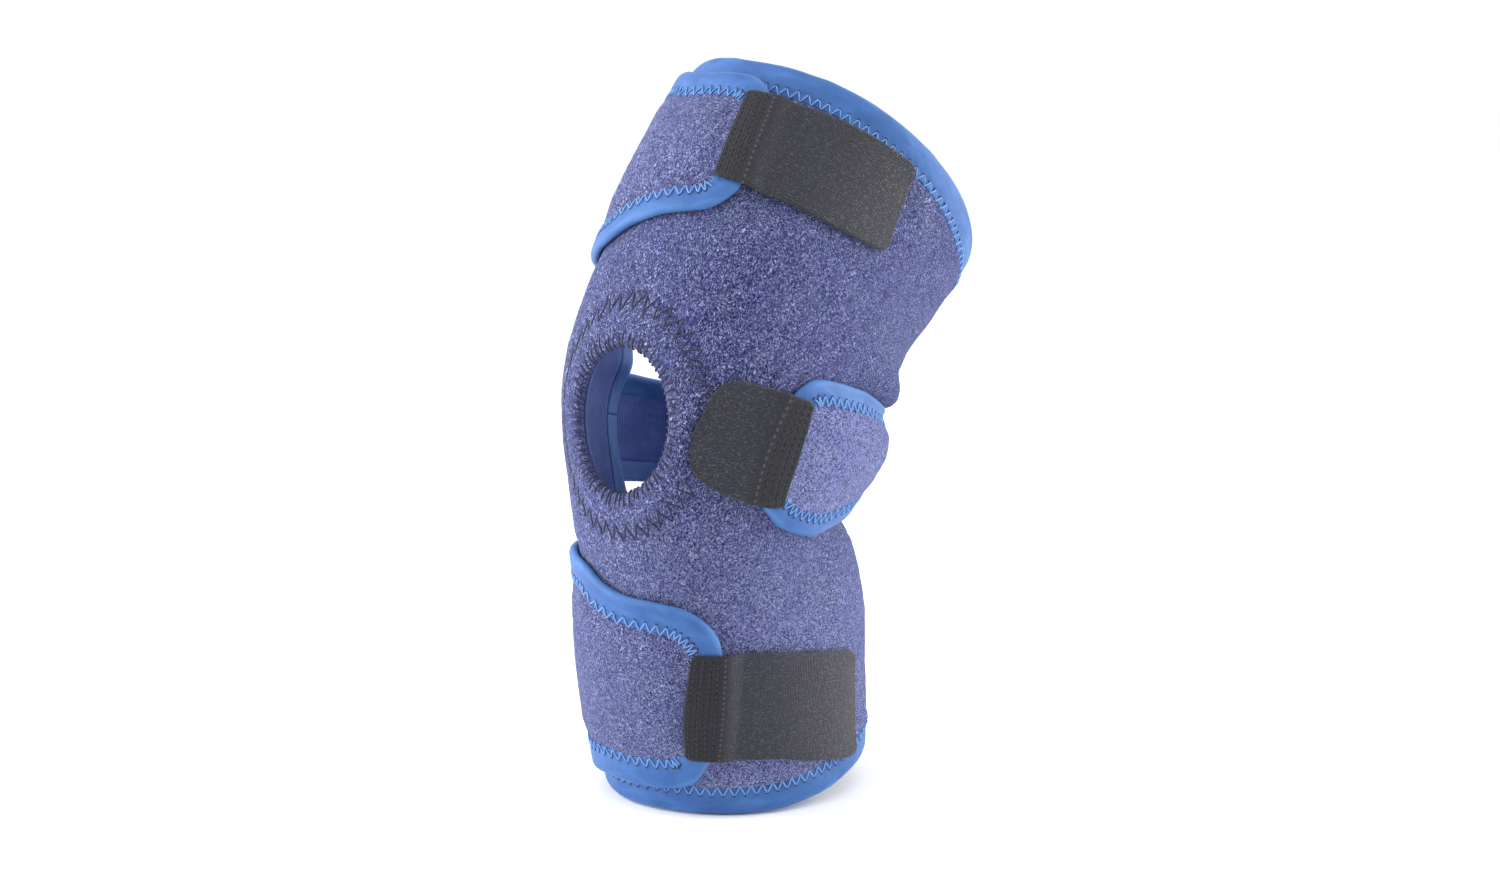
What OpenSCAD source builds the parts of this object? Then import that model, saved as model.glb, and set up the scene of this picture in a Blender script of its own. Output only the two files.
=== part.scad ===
// Open-patella wrap-around knee support, in the shape it takes on a bent knee.
// Frame: origin at the knee centre, +Z up, front of the knee towards -Y,
// outer (lateral) side of the knee towards +X. Millimetres.

/* [Leg] */
// Backward lean of the thigh from the vertical, in degrees
thigh_lean = 46; // [40:1:50]
// Backward lean of the shin from the vertical, in degrees
shin_lean = -7; // [-10:1:-2]
// Length of limb over which the bend is spread
bend_len = 150; // [130:5:170]
// Overall girth multiplier
girth = 1; // [0.95:0.01:1.1]

/* [Fabric] */
// Thickness of the padded main panel
panel_t = 4; // [3.6:0.1:4.2]
// Thickness of the wrap wings and the middle strap
wing_t = 3.8; // [3.4:0.1:4]
// Thickness of the stretch binding tape
tape_t = 0.8; // [0.6:0.1:1]
// Clearance between fabric layers
layer_gap = 0.4; // [0.3:0.05:0.5]
// Width of the binding on the top rim
top_tape_w = 14; // [10:1:16]
// Width of the binding on the bottom rim
bottom_tape_w = 12; // [8:1:14]

/* [Kneecap opening] */
// Half height of the opening, measured along the limb
hole_half = 18.3; // [16:0.1:20]
// Half width of the opening, as an angle round the limb
hole_angle = 22.7; // [20:0.1:24]
// Thickness of the inner pad ring
pad_t = 3; // [2:0.5:4]

/* [Closure tabs] */
// Thickness of the woven tab backing
tab_t = 1.2; // [1:0.1:1.2]
// Thickness of the hook layer under the tab
hook_t = 0.9; // [0.8:0.1:1]

/* [Hidden] */

plush = [0.43, 0.44, 0.62];
tape = [0.33, 0.46, 0.72];
webbing = [0.26, 0.26, 0.29];
hook = [0.16, 0.16, 0.18];
thread_blue = [0.20, 0.26, 0.55];
lining = [0.25, 0.34, 0.60];

// ---- limb surface -------------------------------------------------------
// s runs along the limb from the knee centre, positive up the thigh.
// a is the angle round the limb: 0 front, 90 outer side, 180 back.

// half widths of the limb, sideways
WIDE = [[-150, 47], [-120, 48], [-90, 48], [-60, 46.5], [-30, 50.5], [0, 56.5],
    [30, 56.5], [60, 57], [90, 59.5], [120, 62], [150, 65]];
// half depths of the limb, towards the front
FRONT = [[-150, 51.5], [-120, 54.5], [-90, 56.5], [-60, 56], [-30, 58.5], [0, 64.5],
    [30, 63.5], [60, 64], [90, 65.5], [120, 67.5], [150, 71.5]];
// half depths of the limb, towards the back
BACK = [[-150, 53], [-120, 55], [-90, 55.5], [-60, 56], [-30, 59], [0, 61],
    [30, 63.5], [60, 64.5], [90, 67], [120, 69], [150, 71.5]];

function clamp01(t) = min(1, max(0, t));
function ease(t) = let (c = clamp01(t)) c * c * (3 - 2 * c);
function mix(a, b, t) = a + (b - a) * t;
function steps(a, b, n) = [for (i = [0:n]) a + (b - a) * i / n];

// smooth curve through [x, value] pairs
function slope(T, i) = let (n = len(T) - 1, p = max(0, i - 1), q = min(n, i + 1))
    (T[q][1] - T[p][1]) / (T[q][0] - T[p][0]);
function cell(T, x, i = 0) = i >= len(T) - 2 || x < T[i + 1][0] ? i : cell(T, x, i + 1);
function curve(T, x) = let (i = cell(T, x), h = T[i + 1][0] - T[i][0], u = clamp01((x - T[i][0]) / h))
    (2 * u * u * u - 3 * u * u + 1) * T[i][1] + (u * u * u - 2 * u * u + u) * h * slope(T, i)
    + (3 * u * u - 2 * u * u * u) * T[i + 1][1] + (u * u * u - u * u) * h * slope(T, i + 1);

function lean(s) = shin_lean + (thigh_lean - shin_lean) * ease((s - 8) / bend_len + 0.5);
ds = 3;
UPPER = [for (i = 0, y = 0, z = 0; i <= 44; y = y + ds * sin(lean((i + 0.5) * ds)),
    z = z + ds * cos(lean((i + 0.5) * ds)), i = i + 1) [i * ds, y, z]];
LOWER = [for (i = 0, y = 0, z = 0; i <= 54; y = y - ds * sin(lean(-(i + 0.5) * ds)),
    z = z - ds * cos(lean(-(i + 0.5) * ds)), i = i + 1) [i * ds, y, z]];
UY = [for (p = UPPER) [p[0], p[1]]];
UZ = [for (p = UPPER) [p[0], p[2]]];
LY = [for (p = LOWER) [p[0], p[1]]];
LZ = [for (p = LOWER) [p[0], p[2]]];
function axis_y(s) = s >= 0 ? lookup(s, UY) : lookup(-s, LY);
function axis_z(s) = s >= 0 ? lookup(s, UZ) : lookup(-s, LZ);

// point at s along the limb, a degrees round it, o above the skin
function P(s, a, o) = let (t = lean(s), c = cos(a),
    n = -(girth * curve(c > 0 ? FRONT : BACK, s) + o) * c)
    [(girth * curve(WIDE, s) + o) * sin(a), axis_y(s) + n * cos(t), axis_z(s) - n * sin(t)];

// ---- solids -------------------------------------------------------------
// closed solid between an outer and an inner grid of points
module sheet_solid(A, B, ring = false) {
    m = len(A);
    n = len(A[0]);
    last = ring ? m - 1 : m - 2;
    function ia(i, j) = (i % m) * n + j;
    function ib(i, j) = m * n + (i % m) * n + j;
    function quad(a, b, c, d) = [[a, b, c], [a, c, d]];
    polyhedron(points = [for (r = A) each r, for (r = B) each r], faces = [
        for (i = [0:last], j = [0:n - 2])
            each quad(ia(i, j), ia(i, j + 1), ia(i + 1, j + 1), ia(i + 1, j)),
        for (i = [0:last], j = [0:n - 2])
            each quad(ib(i, j), ib(i + 1, j), ib(i + 1, j + 1), ib(i, j + 1)),
        for (i = [0:last]) each quad(ia(i, 0), ia(i + 1, 0), ib(i + 1, 0), ib(i, 0)),
        for (i = [0:last]) each quad(ia(i, n - 1), ib(i, n - 1), ib(i + 1, n - 1), ia(i + 1, n - 1)),
        if (!ring) for (j = [0:n - 2]) each quad(ia(0, j), ib(0, j), ib(0, j + 1), ia(0, j + 1)),
        if (!ring) for (j = [0:n - 2])
            each quad(ia(m - 1, j), ia(m - 1, j + 1), ib(m - 1, j + 1), ib(m - 1, j))]);
}

// band round the limb: sec(a) gives [s, outer offset, inner offset] up the band,
// from(s) and to(s) give the angles of its two ends
module band(n, a0, a1, from, to, sec) {
    rows = [for (u = steps(0, 1, n)) let (q = sec(mix(a0, a1, u)))
        [for (p = q) [p[0], mix(from(p[0]), to(p[0]), u), p[1], p[2]]]];
    sheet_solid([for (r = rows) [for (p = r) P(p[0], p[1], p[2])]],
        [for (r = rows) [for (p = r) P(p[0], p[1], p[3])]]);
}

// section of a panel of thickness t over offset o, with edges thinned for tape
function core(lo, hi, wl, wh, o, t, n, k = tape_t + 0.12) = concat(
    wl > 0 ? [[lo + k, o + t - k, o + k], [lo + wl, o + t - k, o + k]] : [],
    [for (s = steps(lo + wl, hi - wh, n)) [s, o + t, o]],
    wh > 0 ? [[hi - wh, o + t - k, o + k], [hi - k, o + t - k, o + k]] : []);

// folded tape over an edge at s = e, w wide; dir 1 for a top edge, -1 for a bottom edge
module fold(n, a0, a1, from, to, edge, w, dir, o, t, k = tape_t) {
    us = steps(0, 1, n);
    an = [for (u = us) mix(a0, a1, u)];
    function pt(i, s, off) = P(s, mix(from(s), to(s), us[i]), off);
    A = [for (i = [0:n]) let (e = edge(an[i]), b = e - dir * w(an[i])) dir > 0
        ? [pt(i, b, o + t), pt(i, e, o + t), pt(i, e, o), pt(i, b, o)]
        : [pt(i, b, o), pt(i, e, o), pt(i, e, o + t), pt(i, b, o + t)]];
    B = [for (i = [0:n]) let (e = edge(an[i]), b = e - dir * w(an[i]), c = e - dir * k) dir > 0
        ? [pt(i, b, o + t - k), pt(i, c, o + t - k), pt(i, c, o + k), pt(i, b, o + k)]
        : [pt(i, b, o + k), pt(i, c, o + k), pt(i, c, o + t - k), pt(i, b, o + t - k)]];
    sheet_solid(A, B);
}

// sewing thread along points [s, a, offset], square in section
module thread(path, r = 0.3, ring = false) {
    n = len(path);
    pts = [for (p = path) P(p[0], p[1], p[2])];
    ups = [for (p = path) let (v = P(p[0], p[1], p[2] + 1) - P(p[0], p[1], p[2])) v / norm(v)];
    function at(i) = ring ? (i + n) % n : min(n - 1, max(0, i));
    rings = [for (i = [0:n - 1]) let (d = pts[at(i + 1)] - pts[at(i - 1)], f = d / norm(d),
        c = cross(f, ups[i]), side = c / norm(c), up = cross(side, f))
        [pts[i] - r * side, pts[i] + r * up, pts[i] + r * side, pts[i] - r * up]];
    last = ring ? n - 1 : n - 2;
    polyhedron(points = [for (q = rings) each q], faces = [
        for (i = [0:last], j = [0:3]) let (k = (i + 1) % n, l = (j + 1) % 4)
            each [[i * 4 + j, k * 4 + l, i * 4 + l], [i * 4 + j, k * 4 + j, k * 4 + l]],
        if (!ring) each [[0, 1, 2, 3], [(n - 1) * 4 + 3, (n - 1) * 4 + 2, (n - 1) * 4 + 1, (n - 1) * 4]]]);
}
// zigzag between two lines, each a function of 0..1 giving [s, a, offset]
function zigzag(n, p, q) = [for (i = [0:n]) i % 2 == 0 ? p(i / n) : q(i / n)];

same = function (v) function (s) v;

// ---- outlines -----------------------------------------------------------
k1 = panel_t + layer_gap;      // underside of the wings and strap
k2 = k1 + wing_t;              // outside of the wings and strap
k3 = k2 + 0.2;                 // underside of a tab where it is sewn on
sink = 0.15;                   // how far thread sits in the cloth
top_rim = [[-102, 117], [-60, 117], [-27, 116], [0, 111.5], [20, 111], [35, 112], [65, 113],
    [113, 113.5], [180, 114]];
bottom_rim = [[-102, -149], [-20, -149.5], [7, -149], [45, -151.5], [64, -152], [86, -150.5],
    [105, -148.5], [140, -146], [180, -146]];
medial_line = [[-150, -80], [-80, -82], [-30, -92], [30, -96], [90, -100], [120, -100]];
function medial(s) = curve(medial_line, s);
function back_edge(s) = s > 0 ? 180 - 38 * ease((84 - s) / 50) : 180 - 38 * ease((s + 96) / 46);

upper_top = [[-180, 112], [-90, 114], [-50, 114.5], [-30, 109], [-17.5, 103], [-2, 101.5],
    [8.5, 100.5], [17, 97], [26, 93]];
upper_bottom = [[-180, 84], [-150, 76], [-120, 60], [-90, 45], [-60, 37], [-30, 36.5],
    [-13.5, 40.5], [0, 43.5], [14.5, 46.5], [21.5, 50.5], [26, 55]];
upper_end = [[46, 19], [50.5, 22], [56, 24], [72, 21.5], [92, 19], [97, 17.5], [101, 16.5]];
upper_hinge = -88;
lower_top = [[-180, -96], [-150, -92], [-120, -78], [-90, -62], [-60, -52], [-40, -50.5],
    [-20, -51.5], [-11.5, -55], [2.5, -58.5], [20.5, -61], [32, -64], [42, -69]];
lower_bottom = [[-180, -144], [-90, -145], [-43, -142], [-18, -138.5], [15.5, -138],
    [26.5, -135.5], [33.5, -130], [42, -125]];
lower_end = [[-138, 33], [-130, 34.5], [-124, 36], [-104, 40], [-83, 43], [-75, 42], [-69, 40.5],
    [-64, 38]];
lower_hinge = -66;
strap_top = [[58, 3.5], [61.5, 5], [65.5, 9], [76, 12.5], [90, 14.5], [101, 15.5], [120, 16],
    [150, 18], [180, 20], [210, 18], [240, 13], [266, 10], [282, 8]];
strap_bottom = [[55, -28], [61, -34], [71.5, -40], [86, -45], [97, -45.5], [120, -46],
    [150, -46], [180, -48], [210, -47], [240, -42], [266, -37], [282, -34]];
strap_end = [[-34, 60], [-28, 57], [-13.5, 59.5], [3.5, 64], [9, 66]];
strap_hinge = 200;

function jog(a, a0, a1, lo, hi) = mix(lo, hi, ease((a - a0) / (a1 - a0)));

// ---- main panel ---------------------------------------------------------
hole_s = -9.3;
hole_a = 0.8;
knee_lo = -46;
knee_hi = 30;
ring_a = 48;

module knee_panel() color(plush) union() {
    rim = [for (s = steps(knee_lo, knee_hi, 6)) [s, ring_a],
        for (i = [1:12]) [knee_hi, ring_a - i * 2 * ring_a / 12],
        for (i = [1:6]) [mix(knee_hi, knee_lo, i / 6), -ring_a],
        for (i = [1:11]) [knee_lo, -ring_a + i * 2 * ring_a / 12]];
    rows = [for (q = rim) let (g = atan2((q[0] - hole_s) / hole_half, (q[1] - hole_a) / hole_angle),
        e = [hole_s + hole_half * sin(g), hole_a + hole_angle * cos(g)])
        [for (v = [0, 0.38, 0.75, 1]) [mix(q[0], e[0], v), mix(q[1], e[1], v), v == 1 ? 0.5 : 0]]];
    sheet_solid([for (r = rows) [for (p = r) P(p[0], p[1], panel_t - p[2])]],
        [for (r = rows) [for (p = r) P(p[0], p[1], p[2])]], ring = true);
    // sides, with margins thinned under the edge tape
    k = tape_t + 0.12;
    ss = steps(knee_lo, knee_hi, 6);
    lateral = concat([for (u = steps(0, 1, 13)) [for (s = ss) [s, mix(ring_a, back_edge(s) - 8, u), 0]]],
        [for (w = [8, 1]) [for (s = ss) [s, back_edge(s) - w, k]]]);
    inner = concat([for (w = [1, 8]) [for (s = ss) [s, medial(s) + w, k]]],
        [for (u = steps(0, 1, 5)) [for (s = ss) [s, mix(medial(s) + 8, -ring_a, u), 0]]]);
    for (q = [lateral, inner])
        sheet_solid([for (r = q) [for (p = r) P(p[0], p[1], panel_t - p[2])]],
            [for (r = q) [for (p = r) P(p[0], p[1], p[2])]]);
}

module upper_flex_panel() color(plush)
    band(42, -96, 180, function (s) medial(s), function (s) back_edge(s),
        function (a) [for (s = steps(knee_hi, 90, 5)) [s, panel_t, 0]]);

module lower_flex_panel() color(plush)
    band(40, -84, 180, function (s) medial(s), function (s) back_edge(s),
        function (a) [for (s = steps(-96, knee_lo, 4)) [s, panel_t, 0]]);

module thigh_panel() color(plush)
    band(42, -100, 180, function (s) medial(s), same(180),
        function (a) core(90, curve(top_rim, a), 0, top_tape_w, 0, panel_t, 1));

module calf_panel() color(plush)
    band(40, -80, 180, function (s) medial(s), same(180),
        function (a) core(curve(bottom_rim, a), -96, bottom_tape_w, 0, 0, panel_t, 3));

module top_binding() color(tape)
    fold(42, -100, 180, function (s) medial(s), same(180),
        function (a) curve(top_rim, a), function (a) top_tape_w, 1, 0, panel_t);

module bottom_binding() color(tape)
    fold(40, -80, 180, function (s) medial(s), same(180),
        function (a) curve(bottom_rim, a), function (a) bottom_tape_w, -1, 0, panel_t);

// tape folded over an upright edge of the knee panel
module side_tape(edge, w, dir) {
    k = tape_t;
    rows = steps(knee_lo, knee_hi, 6);
    function line(s, a, b) = dir > 0
        ? [P(s, edge(s) - w, a), P(s, edge(s), a), P(s, edge(s), b), P(s, edge(s) - w, b)]
        : [P(s, edge(s) + w, b), P(s, edge(s), b), P(s, edge(s), a), P(s, edge(s) + w, a)];
    function core_line(s, a, b) = dir > 0
        ? [P(s, edge(s) - w, a), P(s, edge(s) - 1, a), P(s, edge(s) - 1, b), P(s, edge(s) - w, b)]
        : [P(s, edge(s) + w, b), P(s, edge(s) + 1, b), P(s, edge(s) + 1, a), P(s, edge(s) + w, a)];
    sheet_solid([for (i = [len(rows) - 1:-1:0]) line(rows[i], panel_t, 0)],
        [for (i = [len(rows) - 1:-1:0]) core_line(rows[i], panel_t - k, k)]);
}
module popliteal_binding() color(tape) side_tape(function (s) back_edge(s), 8, 1);
module medial_edge_binding() color(tape) side_tape(function (s) medial(s), 8, -1);

// point round the kneecap opening: v times its size, g degrees round it
function ep(v, g, o) = P(hole_s + hole_half * v * sin(g), hole_a + hole_angle * v * cos(g), o);
module patella_pad() color(lining) {
    rows = [for (i = [0:31]) [for (v = [1.62, 1.52, 1.16, 1.06]) [v, i * 360 / 32]]];
    sheet_solid([for (r = rows) [for (p = r) ep(p[0], p[1], -0.4)]],
        [for (r = rows) [for (p = r) ep(p[0], p[1], p[0] > 1.6 || p[0] < 1.1 ? -1 : -pad_t)]], ring = true);
}

module patella_rim_thread() color(thread_blue)
    thread([for (i = [0:71]) let (v = i % 2 == 0 ? 1.03 : 1.3, g = i * 5)
        [hole_s + hole_half * v * sin(g), hole_a + hole_angle * v * cos(g), panel_t - (i % 2 == 0 ? 0.35 : sink)]],
        ring = true);

module patella_pad_thread() color(thread_blue)
    thread([for (i = [0:89]) let (v = i % 2 == 0 ? 1.44 : 1.74, g = i * 4)
        [hole_s + hole_half * v * sin(g), hole_a + hole_angle * v * cos(g), panel_t - sink]],
        ring = true);

module top_binding_thread() color(thread_blue)
    thread(zigzag(80,
        function (t) let (a = mix(-98, 178, t)) [curve(top_rim, a) - top_tape_w - 1.5, a, panel_t - sink],
        function (t) let (a = mix(-98, 178, t)) [curve(top_rim, a) - top_tape_w + 2.5, a, panel_t - sink]));

module bottom_binding_thread() color(thread_blue)
    thread(zigzag(72,
        function (t) let (a = mix(-78, 178, t)) [curve(bottom_rim, a) + bottom_tape_w + 1.5, a, panel_t - sink],
        function (t) let (a = mix(-78, 178, t)) [curve(bottom_rim, a) + bottom_tape_w - 2.5, a, panel_t - sink]));

// ---- wings --------------------------------------------------------------
// the fixed part of a wing lies on the skin behind the panel's free edge, then
// steps up over that edge
module wing_base(n, a1, top, bottom, wt, wb, j0, j1) {
    band(n, -180, a1, same(-179.9), same(a1), function (a) let (o = jog(a, j0, j1, 0, k1))
        core(curve(bottom, a), curve(top, a), wb, wt, o, wing_t, 3));
}
module base_fold(n, a1, edge, w, dir, j0, j1) {
    us = steps(-179.9, a1, n);
    k = tape_t;
    t = wing_t;
    function pt(a, s, off) = P(s, a, off + jog(a, j0, j1, 0, k1));
    function row(a, e, i) = let (b = curve(edge, a) - dir * w, c = curve(edge, a) - dir * i)
        dir > 0 ? [pt(a, b, t - e), pt(a, c, t - e), pt(a, c, e), pt(a, b, e)]
                : [pt(a, b, e), pt(a, c, e), pt(a, c, t - e), pt(a, b, t - e)];
    sheet_solid([for (a = us) row(a, 0, 0)], [for (a = us) row(a, k, k)]);
}

module upper_wing_base() color(plush)
    wing_base(16, upper_hinge - 0.3, upper_top, upper_bottom, 10, 8, -109, -101);
module upper_base_binding() color(tape) {
    base_fold(16, upper_hinge - 0.3, upper_top, 10, 1, -109, -101);
    base_fold(16, upper_hinge - 0.3, upper_bottom, 8, -1, -109, -101);
}
module upper_wing() color(plush)
    band(17, upper_hinge, 24, same(upper_hinge), function (s) curve(upper_end, s),
        function (a) core(curve(upper_bottom, a), curve(upper_top, a), 10, 12, k1, wing_t, 4));
module upper_wing_binding() color(tape) {
    fold(17, upper_hinge, 24, same(upper_hinge), function (s) curve(upper_end, s),
        function (a) curve(upper_top, a), function (a) 12, 1, k1, wing_t);
    fold(17, upper_hinge, 24, same(upper_hinge), function (s) curve(upper_end, s),
        function (a) curve(upper_bottom, a), function (a) 10, -1, k1, wing_t);
}
module upper_wing_thread() color(thread_blue) {
    thread(zigzag(36,
        function (t) let (a = mix(-86, 7.5, t)) [curve(upper_top, a) - 13.5, a, k2 - sink],
        function (t) let (a = mix(-86, 7.5, t)) [curve(upper_top, a) - 10, a, k2 - sink]));
    thread(zigzag(36,
        function (t) let (a = mix(-86, 10, t)) [curve(upper_bottom, a) + 11.5, a, k2 - sink],
        function (t) let (a = mix(-86, 10, t)) [curve(upper_bottom, a) + 8, a, k2 - sink]));
}
module upper_seam_thread() color(thread_blue)
    thread(zigzag(8, function (t) [mix(96, 106, t), 179.2, 4.35], function (t) [mix(96, 106, t), 180.9, 4.35]));

module lower_wing_base() color(plush)
    wing_base(18, lower_hinge - 0.3, lower_top, lower_bottom, 8, 9, -100, -92);
module lower_base_binding() color(tape) {
    base_fold(18, lower_hinge - 0.3, lower_top, 8, 1, -100, -92);
    base_fold(18, lower_hinge - 0.3, lower_bottom, 9, -1, -100, -92);
}
module lower_wing() color(plush)
    band(16, lower_hinge, 40, same(lower_hinge), function (s) curve(lower_end, s),
        function (a) core(curve(lower_bottom, a), curve(lower_top, a), 13, 12, k1, wing_t, 4));
module lower_wing_binding() color(tape) {
    fold(16, lower_hinge, 40, same(lower_hinge), function (s) curve(lower_end, s),
        function (a) curve(lower_top, a), function (a) 12, 1, k1, wing_t);
    fold(16, lower_hinge, 40, same(lower_hinge), function (s) curve(lower_end, s),
        function (a) curve(lower_bottom, a), function (a) 13, -1, k1, wing_t);
}
module lower_wing_thread() color(thread_blue) {
    thread(zigzag(32,
        function (t) let (a = mix(-64, 27, t)) [curve(lower_top, a) - 13.5, a, k2 - sink],
        function (t) let (a = mix(-64, 27, t)) [curve(lower_top, a) - 10, a, k2 - sink]));
    thread(zigzag(32,
        function (t) let (a = mix(-64, 22, t)) [curve(lower_bottom, a) + 14.5, a, k2 - sink],
        function (t) let (a = mix(-64, 22, t)) [curve(lower_bottom, a) + 11, a, k2 - sink]));
}
module lower_seam_thread() color(thread_blue)
    thread(zigzag(14, function (t) [mix(-132, -106, t), 179.2, 4.35], function (t) [mix(-132, -106, t), 180.9, 4.35]));

// ---- middle strap -------------------------------------------------------
module mid_strap_base() color(plush)
    band(12, strap_hinge + 0.3, 282, same(strap_hinge + 0.3), same(282),
        function (a) [for (s = steps(curve(strap_bottom, a), curve(strap_top, a), 4)) [s, k2, k1]]);
module mid_strap_base_stitching() color(thread_blue)
    thread(zigzag(12, function (t) [mix(-32, 6, t), 279.5, k2 - sink], function (t) [mix(-32, 6, t), 276, k2 - sink]));
module mid_strap() color(plush)
    band(20, 61, strap_hinge, function (s) curve(strap_end, s), same(strap_hinge),
        function (a) core(curve(strap_bottom, a), curve(strap_top, a), 9, 9, k1, wing_t, 4));
module mid_strap_binding() color(tape) {
    fold(20, 61, strap_hinge, function (s) curve(strap_end, s), same(strap_hinge),
        function (a) curve(strap_top, a), function (a) 9, 1, k1, wing_t);
    fold(20, 61, strap_hinge, function (s) curve(strap_end, s), same(strap_hinge),
        function (a) curve(strap_bottom, a), function (a) 9, -1, k1, wing_t);
}
module mid_strap_thread() color(thread_blue) {
    thread(zigzag(44,
        function (t) let (a = mix(74, 198, t)) [curve(strap_top, a) - 10.5, a, k2 - sink],
        function (t) let (a = mix(74, 198, t)) [curve(strap_top, a) - 7.5, a, k2 - sink]));
    thread(zigzag(44,
        function (t) let (a = mix(71, 198, t)) [curve(strap_bottom, a) + 10.5, a, k2 - sink],
        function (t) let (a = mix(71, 198, t)) [curve(strap_bottom, a) + 7.5, a, k2 - sink]));
}

// ---- closure tabs -------------------------------------------------------
// each tab is sewn down on the wing's end and steps down to the panel beyond it
upper_tab_left = [[56, 14], [73, 11.5], [93, 9.5]];
upper_tab_sewn = [[56, 24], [72, 21.5], [92, 19]];
upper_tab_top = [[9, 92.5], [20, 93], [42, 95], [65.5, 98.5], [70, 98.3], [73, 95], [76, 88], [77.6, 80], [78, 76]];
upper_tab_bottom = [[9, 57], [14, 56.5], [31, 57], [43, 58], [59.5, 59], [70, 61], [75.5, 64], [77.6, 69], [78, 73]];
lower_tab_left = [[-126, 24], [-110, 25], [-95, 28], [-81, 31.5]];
lower_tab_sewn = [[-126, 36], [-104, 40], [-83, 43]];
lower_tab_top = [[24, -80.5], [31, -81], [56.5, -84], [75, -88.5], [90, -92.5], [97, -96], [100.3, -102], [101.2, -110]];
lower_tab_bottom = [[24, -124.5], [60, -129.5], [80, -134.5], [90.5, -137], [97, -136.6], [100.3, -132], [101.2, -124]];
mid_tab_right = [[-31, 67], [-13, 70.5], [4, 72]];
mid_tab_sewn = [[-28, 57], [-13.5, 59.5], [3.5, 64]];
mid_tab_top = [[32.6, -13], [33.4, -9], [35.5, -5], [38, 0.5], [41, 3.6], [45.5, 5.5], [53.5, 5.5], [72, 4]];
mid_tab_bottom = [[32.6, -16], [33.4, -19], [35.5, -21], [40.5, -24], [58, -29.5], [67, -31]];

// free part of a tab, away from its sewn edge at angle `sewn`, dir 1 or -1 round the limb
module tab_skin(angles, sewn, top, bottom, dir, o1, o2, s_inset = 0) {
    rows = [for (a = dir > 0 ? angles : [for (i = [len(angles) - 1:-1:0]) angles[i]])
        let (lo = curve(bottom, a) + s_inset, hi = curve(top, a) - s_inset)
        [for (s = steps(lo, hi, 4)) let (e = curve(sewn, s), b = dir * (a - e))
            [s, b < 0.2 ? e + dir * 0.2 : a, b]]];
    function drop(b) = (k3 - k1 - hook_t) * ease((b - 1) / 8);
    sheet_solid([for (r = rows) [for (p = r) P(p[0], p[1], o2(p[2]) - drop(p[2]))]],
        [for (r = rows) [for (p = r) P(p[0], p[1], o1(p[2]) - drop(p[2]))]]);
}
module tab_sewn(n, a0, a1, from, to, top, bottom)
    band(n, a0, a1, from, to, function (a) [for (s = steps(curve(bottom, a), curve(top, a), 4)) [s, k3 + tab_t, k3]]);

module upper_tab_base() color(webbing)
    tab_sewn(3, 12, 22, function (s) curve(upper_tab_left, s), function (s) curve(upper_tab_sewn, s) - 0.2,
        upper_tab_top, upper_tab_bottom);
module upper_tab_stitching() color(thread_blue) for (v = [0.15, 0.5, 0.85])
    thread(zigzag(14, function (t) let (s = mix(59, 91, t)) [s, mix(curve(upper_tab_left, s), curve(upper_tab_sewn, s), v) - 0.8, k3 + tab_t - 0.1],
        function (t) let (s = mix(59, 91, t)) [s, mix(curve(upper_tab_left, s), curve(upper_tab_sewn, s), v) + 0.8, k3 + tab_t - 0.1]), r = 0.25);
module upper_tab_backing() color(webbing)
    tab_skin(concat([17, 26, 28, 30, 32.5, 36], steps(43, 70, 4), [73, 76, 77.6, 78]), upper_tab_sewn,
        upper_tab_top, upper_tab_bottom, 1, function (b) k3, function (b) k3 + tab_t);
module upper_tab_hooks() color(hook)
    tab_skin(concat([34, 39], steps(44.5, 70, 4), [73, 75.5]), upper_tab_sewn,
        upper_tab_top, upper_tab_bottom, 1, function (b) k3 - hook_t, function (b) k3 - 0.12, 2);

module lower_tab_base() color(webbing)
    tab_sewn(3, 28, 40, function (s) curve(lower_tab_left, s), function (s) curve(lower_tab_sewn, s) - 0.2,
        lower_tab_top, lower_tab_bottom);
module lower_tab_stitching() color(thread_blue) for (v = [0.15, 0.5, 0.85])
    thread(zigzag(18, function (t) let (s = mix(-122, -84, t)) [s, mix(curve(lower_tab_left, s), curve(lower_tab_sewn, s), v) - 0.8, k3 + tab_t - 0.1],
        function (t) let (s = mix(-122, -84, t)) [s, mix(curve(lower_tab_left, s), curve(lower_tab_sewn, s), v) + 0.8, k3 + tab_t - 0.1]), r = 0.25);
module lower_tab_backing() color(webbing)
    tab_skin(concat([34, 45, 47.5, 50, 53, 57], steps(63, 90.5, 4), [97, 100.3, 101.2]), lower_tab_sewn,
        lower_tab_top, lower_tab_bottom, 1, function (b) k3, function (b) k3 + tab_t);
module lower_tab_hooks() color(hook)
    tab_skin(concat([54, 59], steps(65, 90.5, 4), [95, 99]), lower_tab_sewn,
        lower_tab_top, lower_tab_bottom, 1, function (b) k3 - hook_t, function (b) k3 - 0.12, 2);

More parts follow.
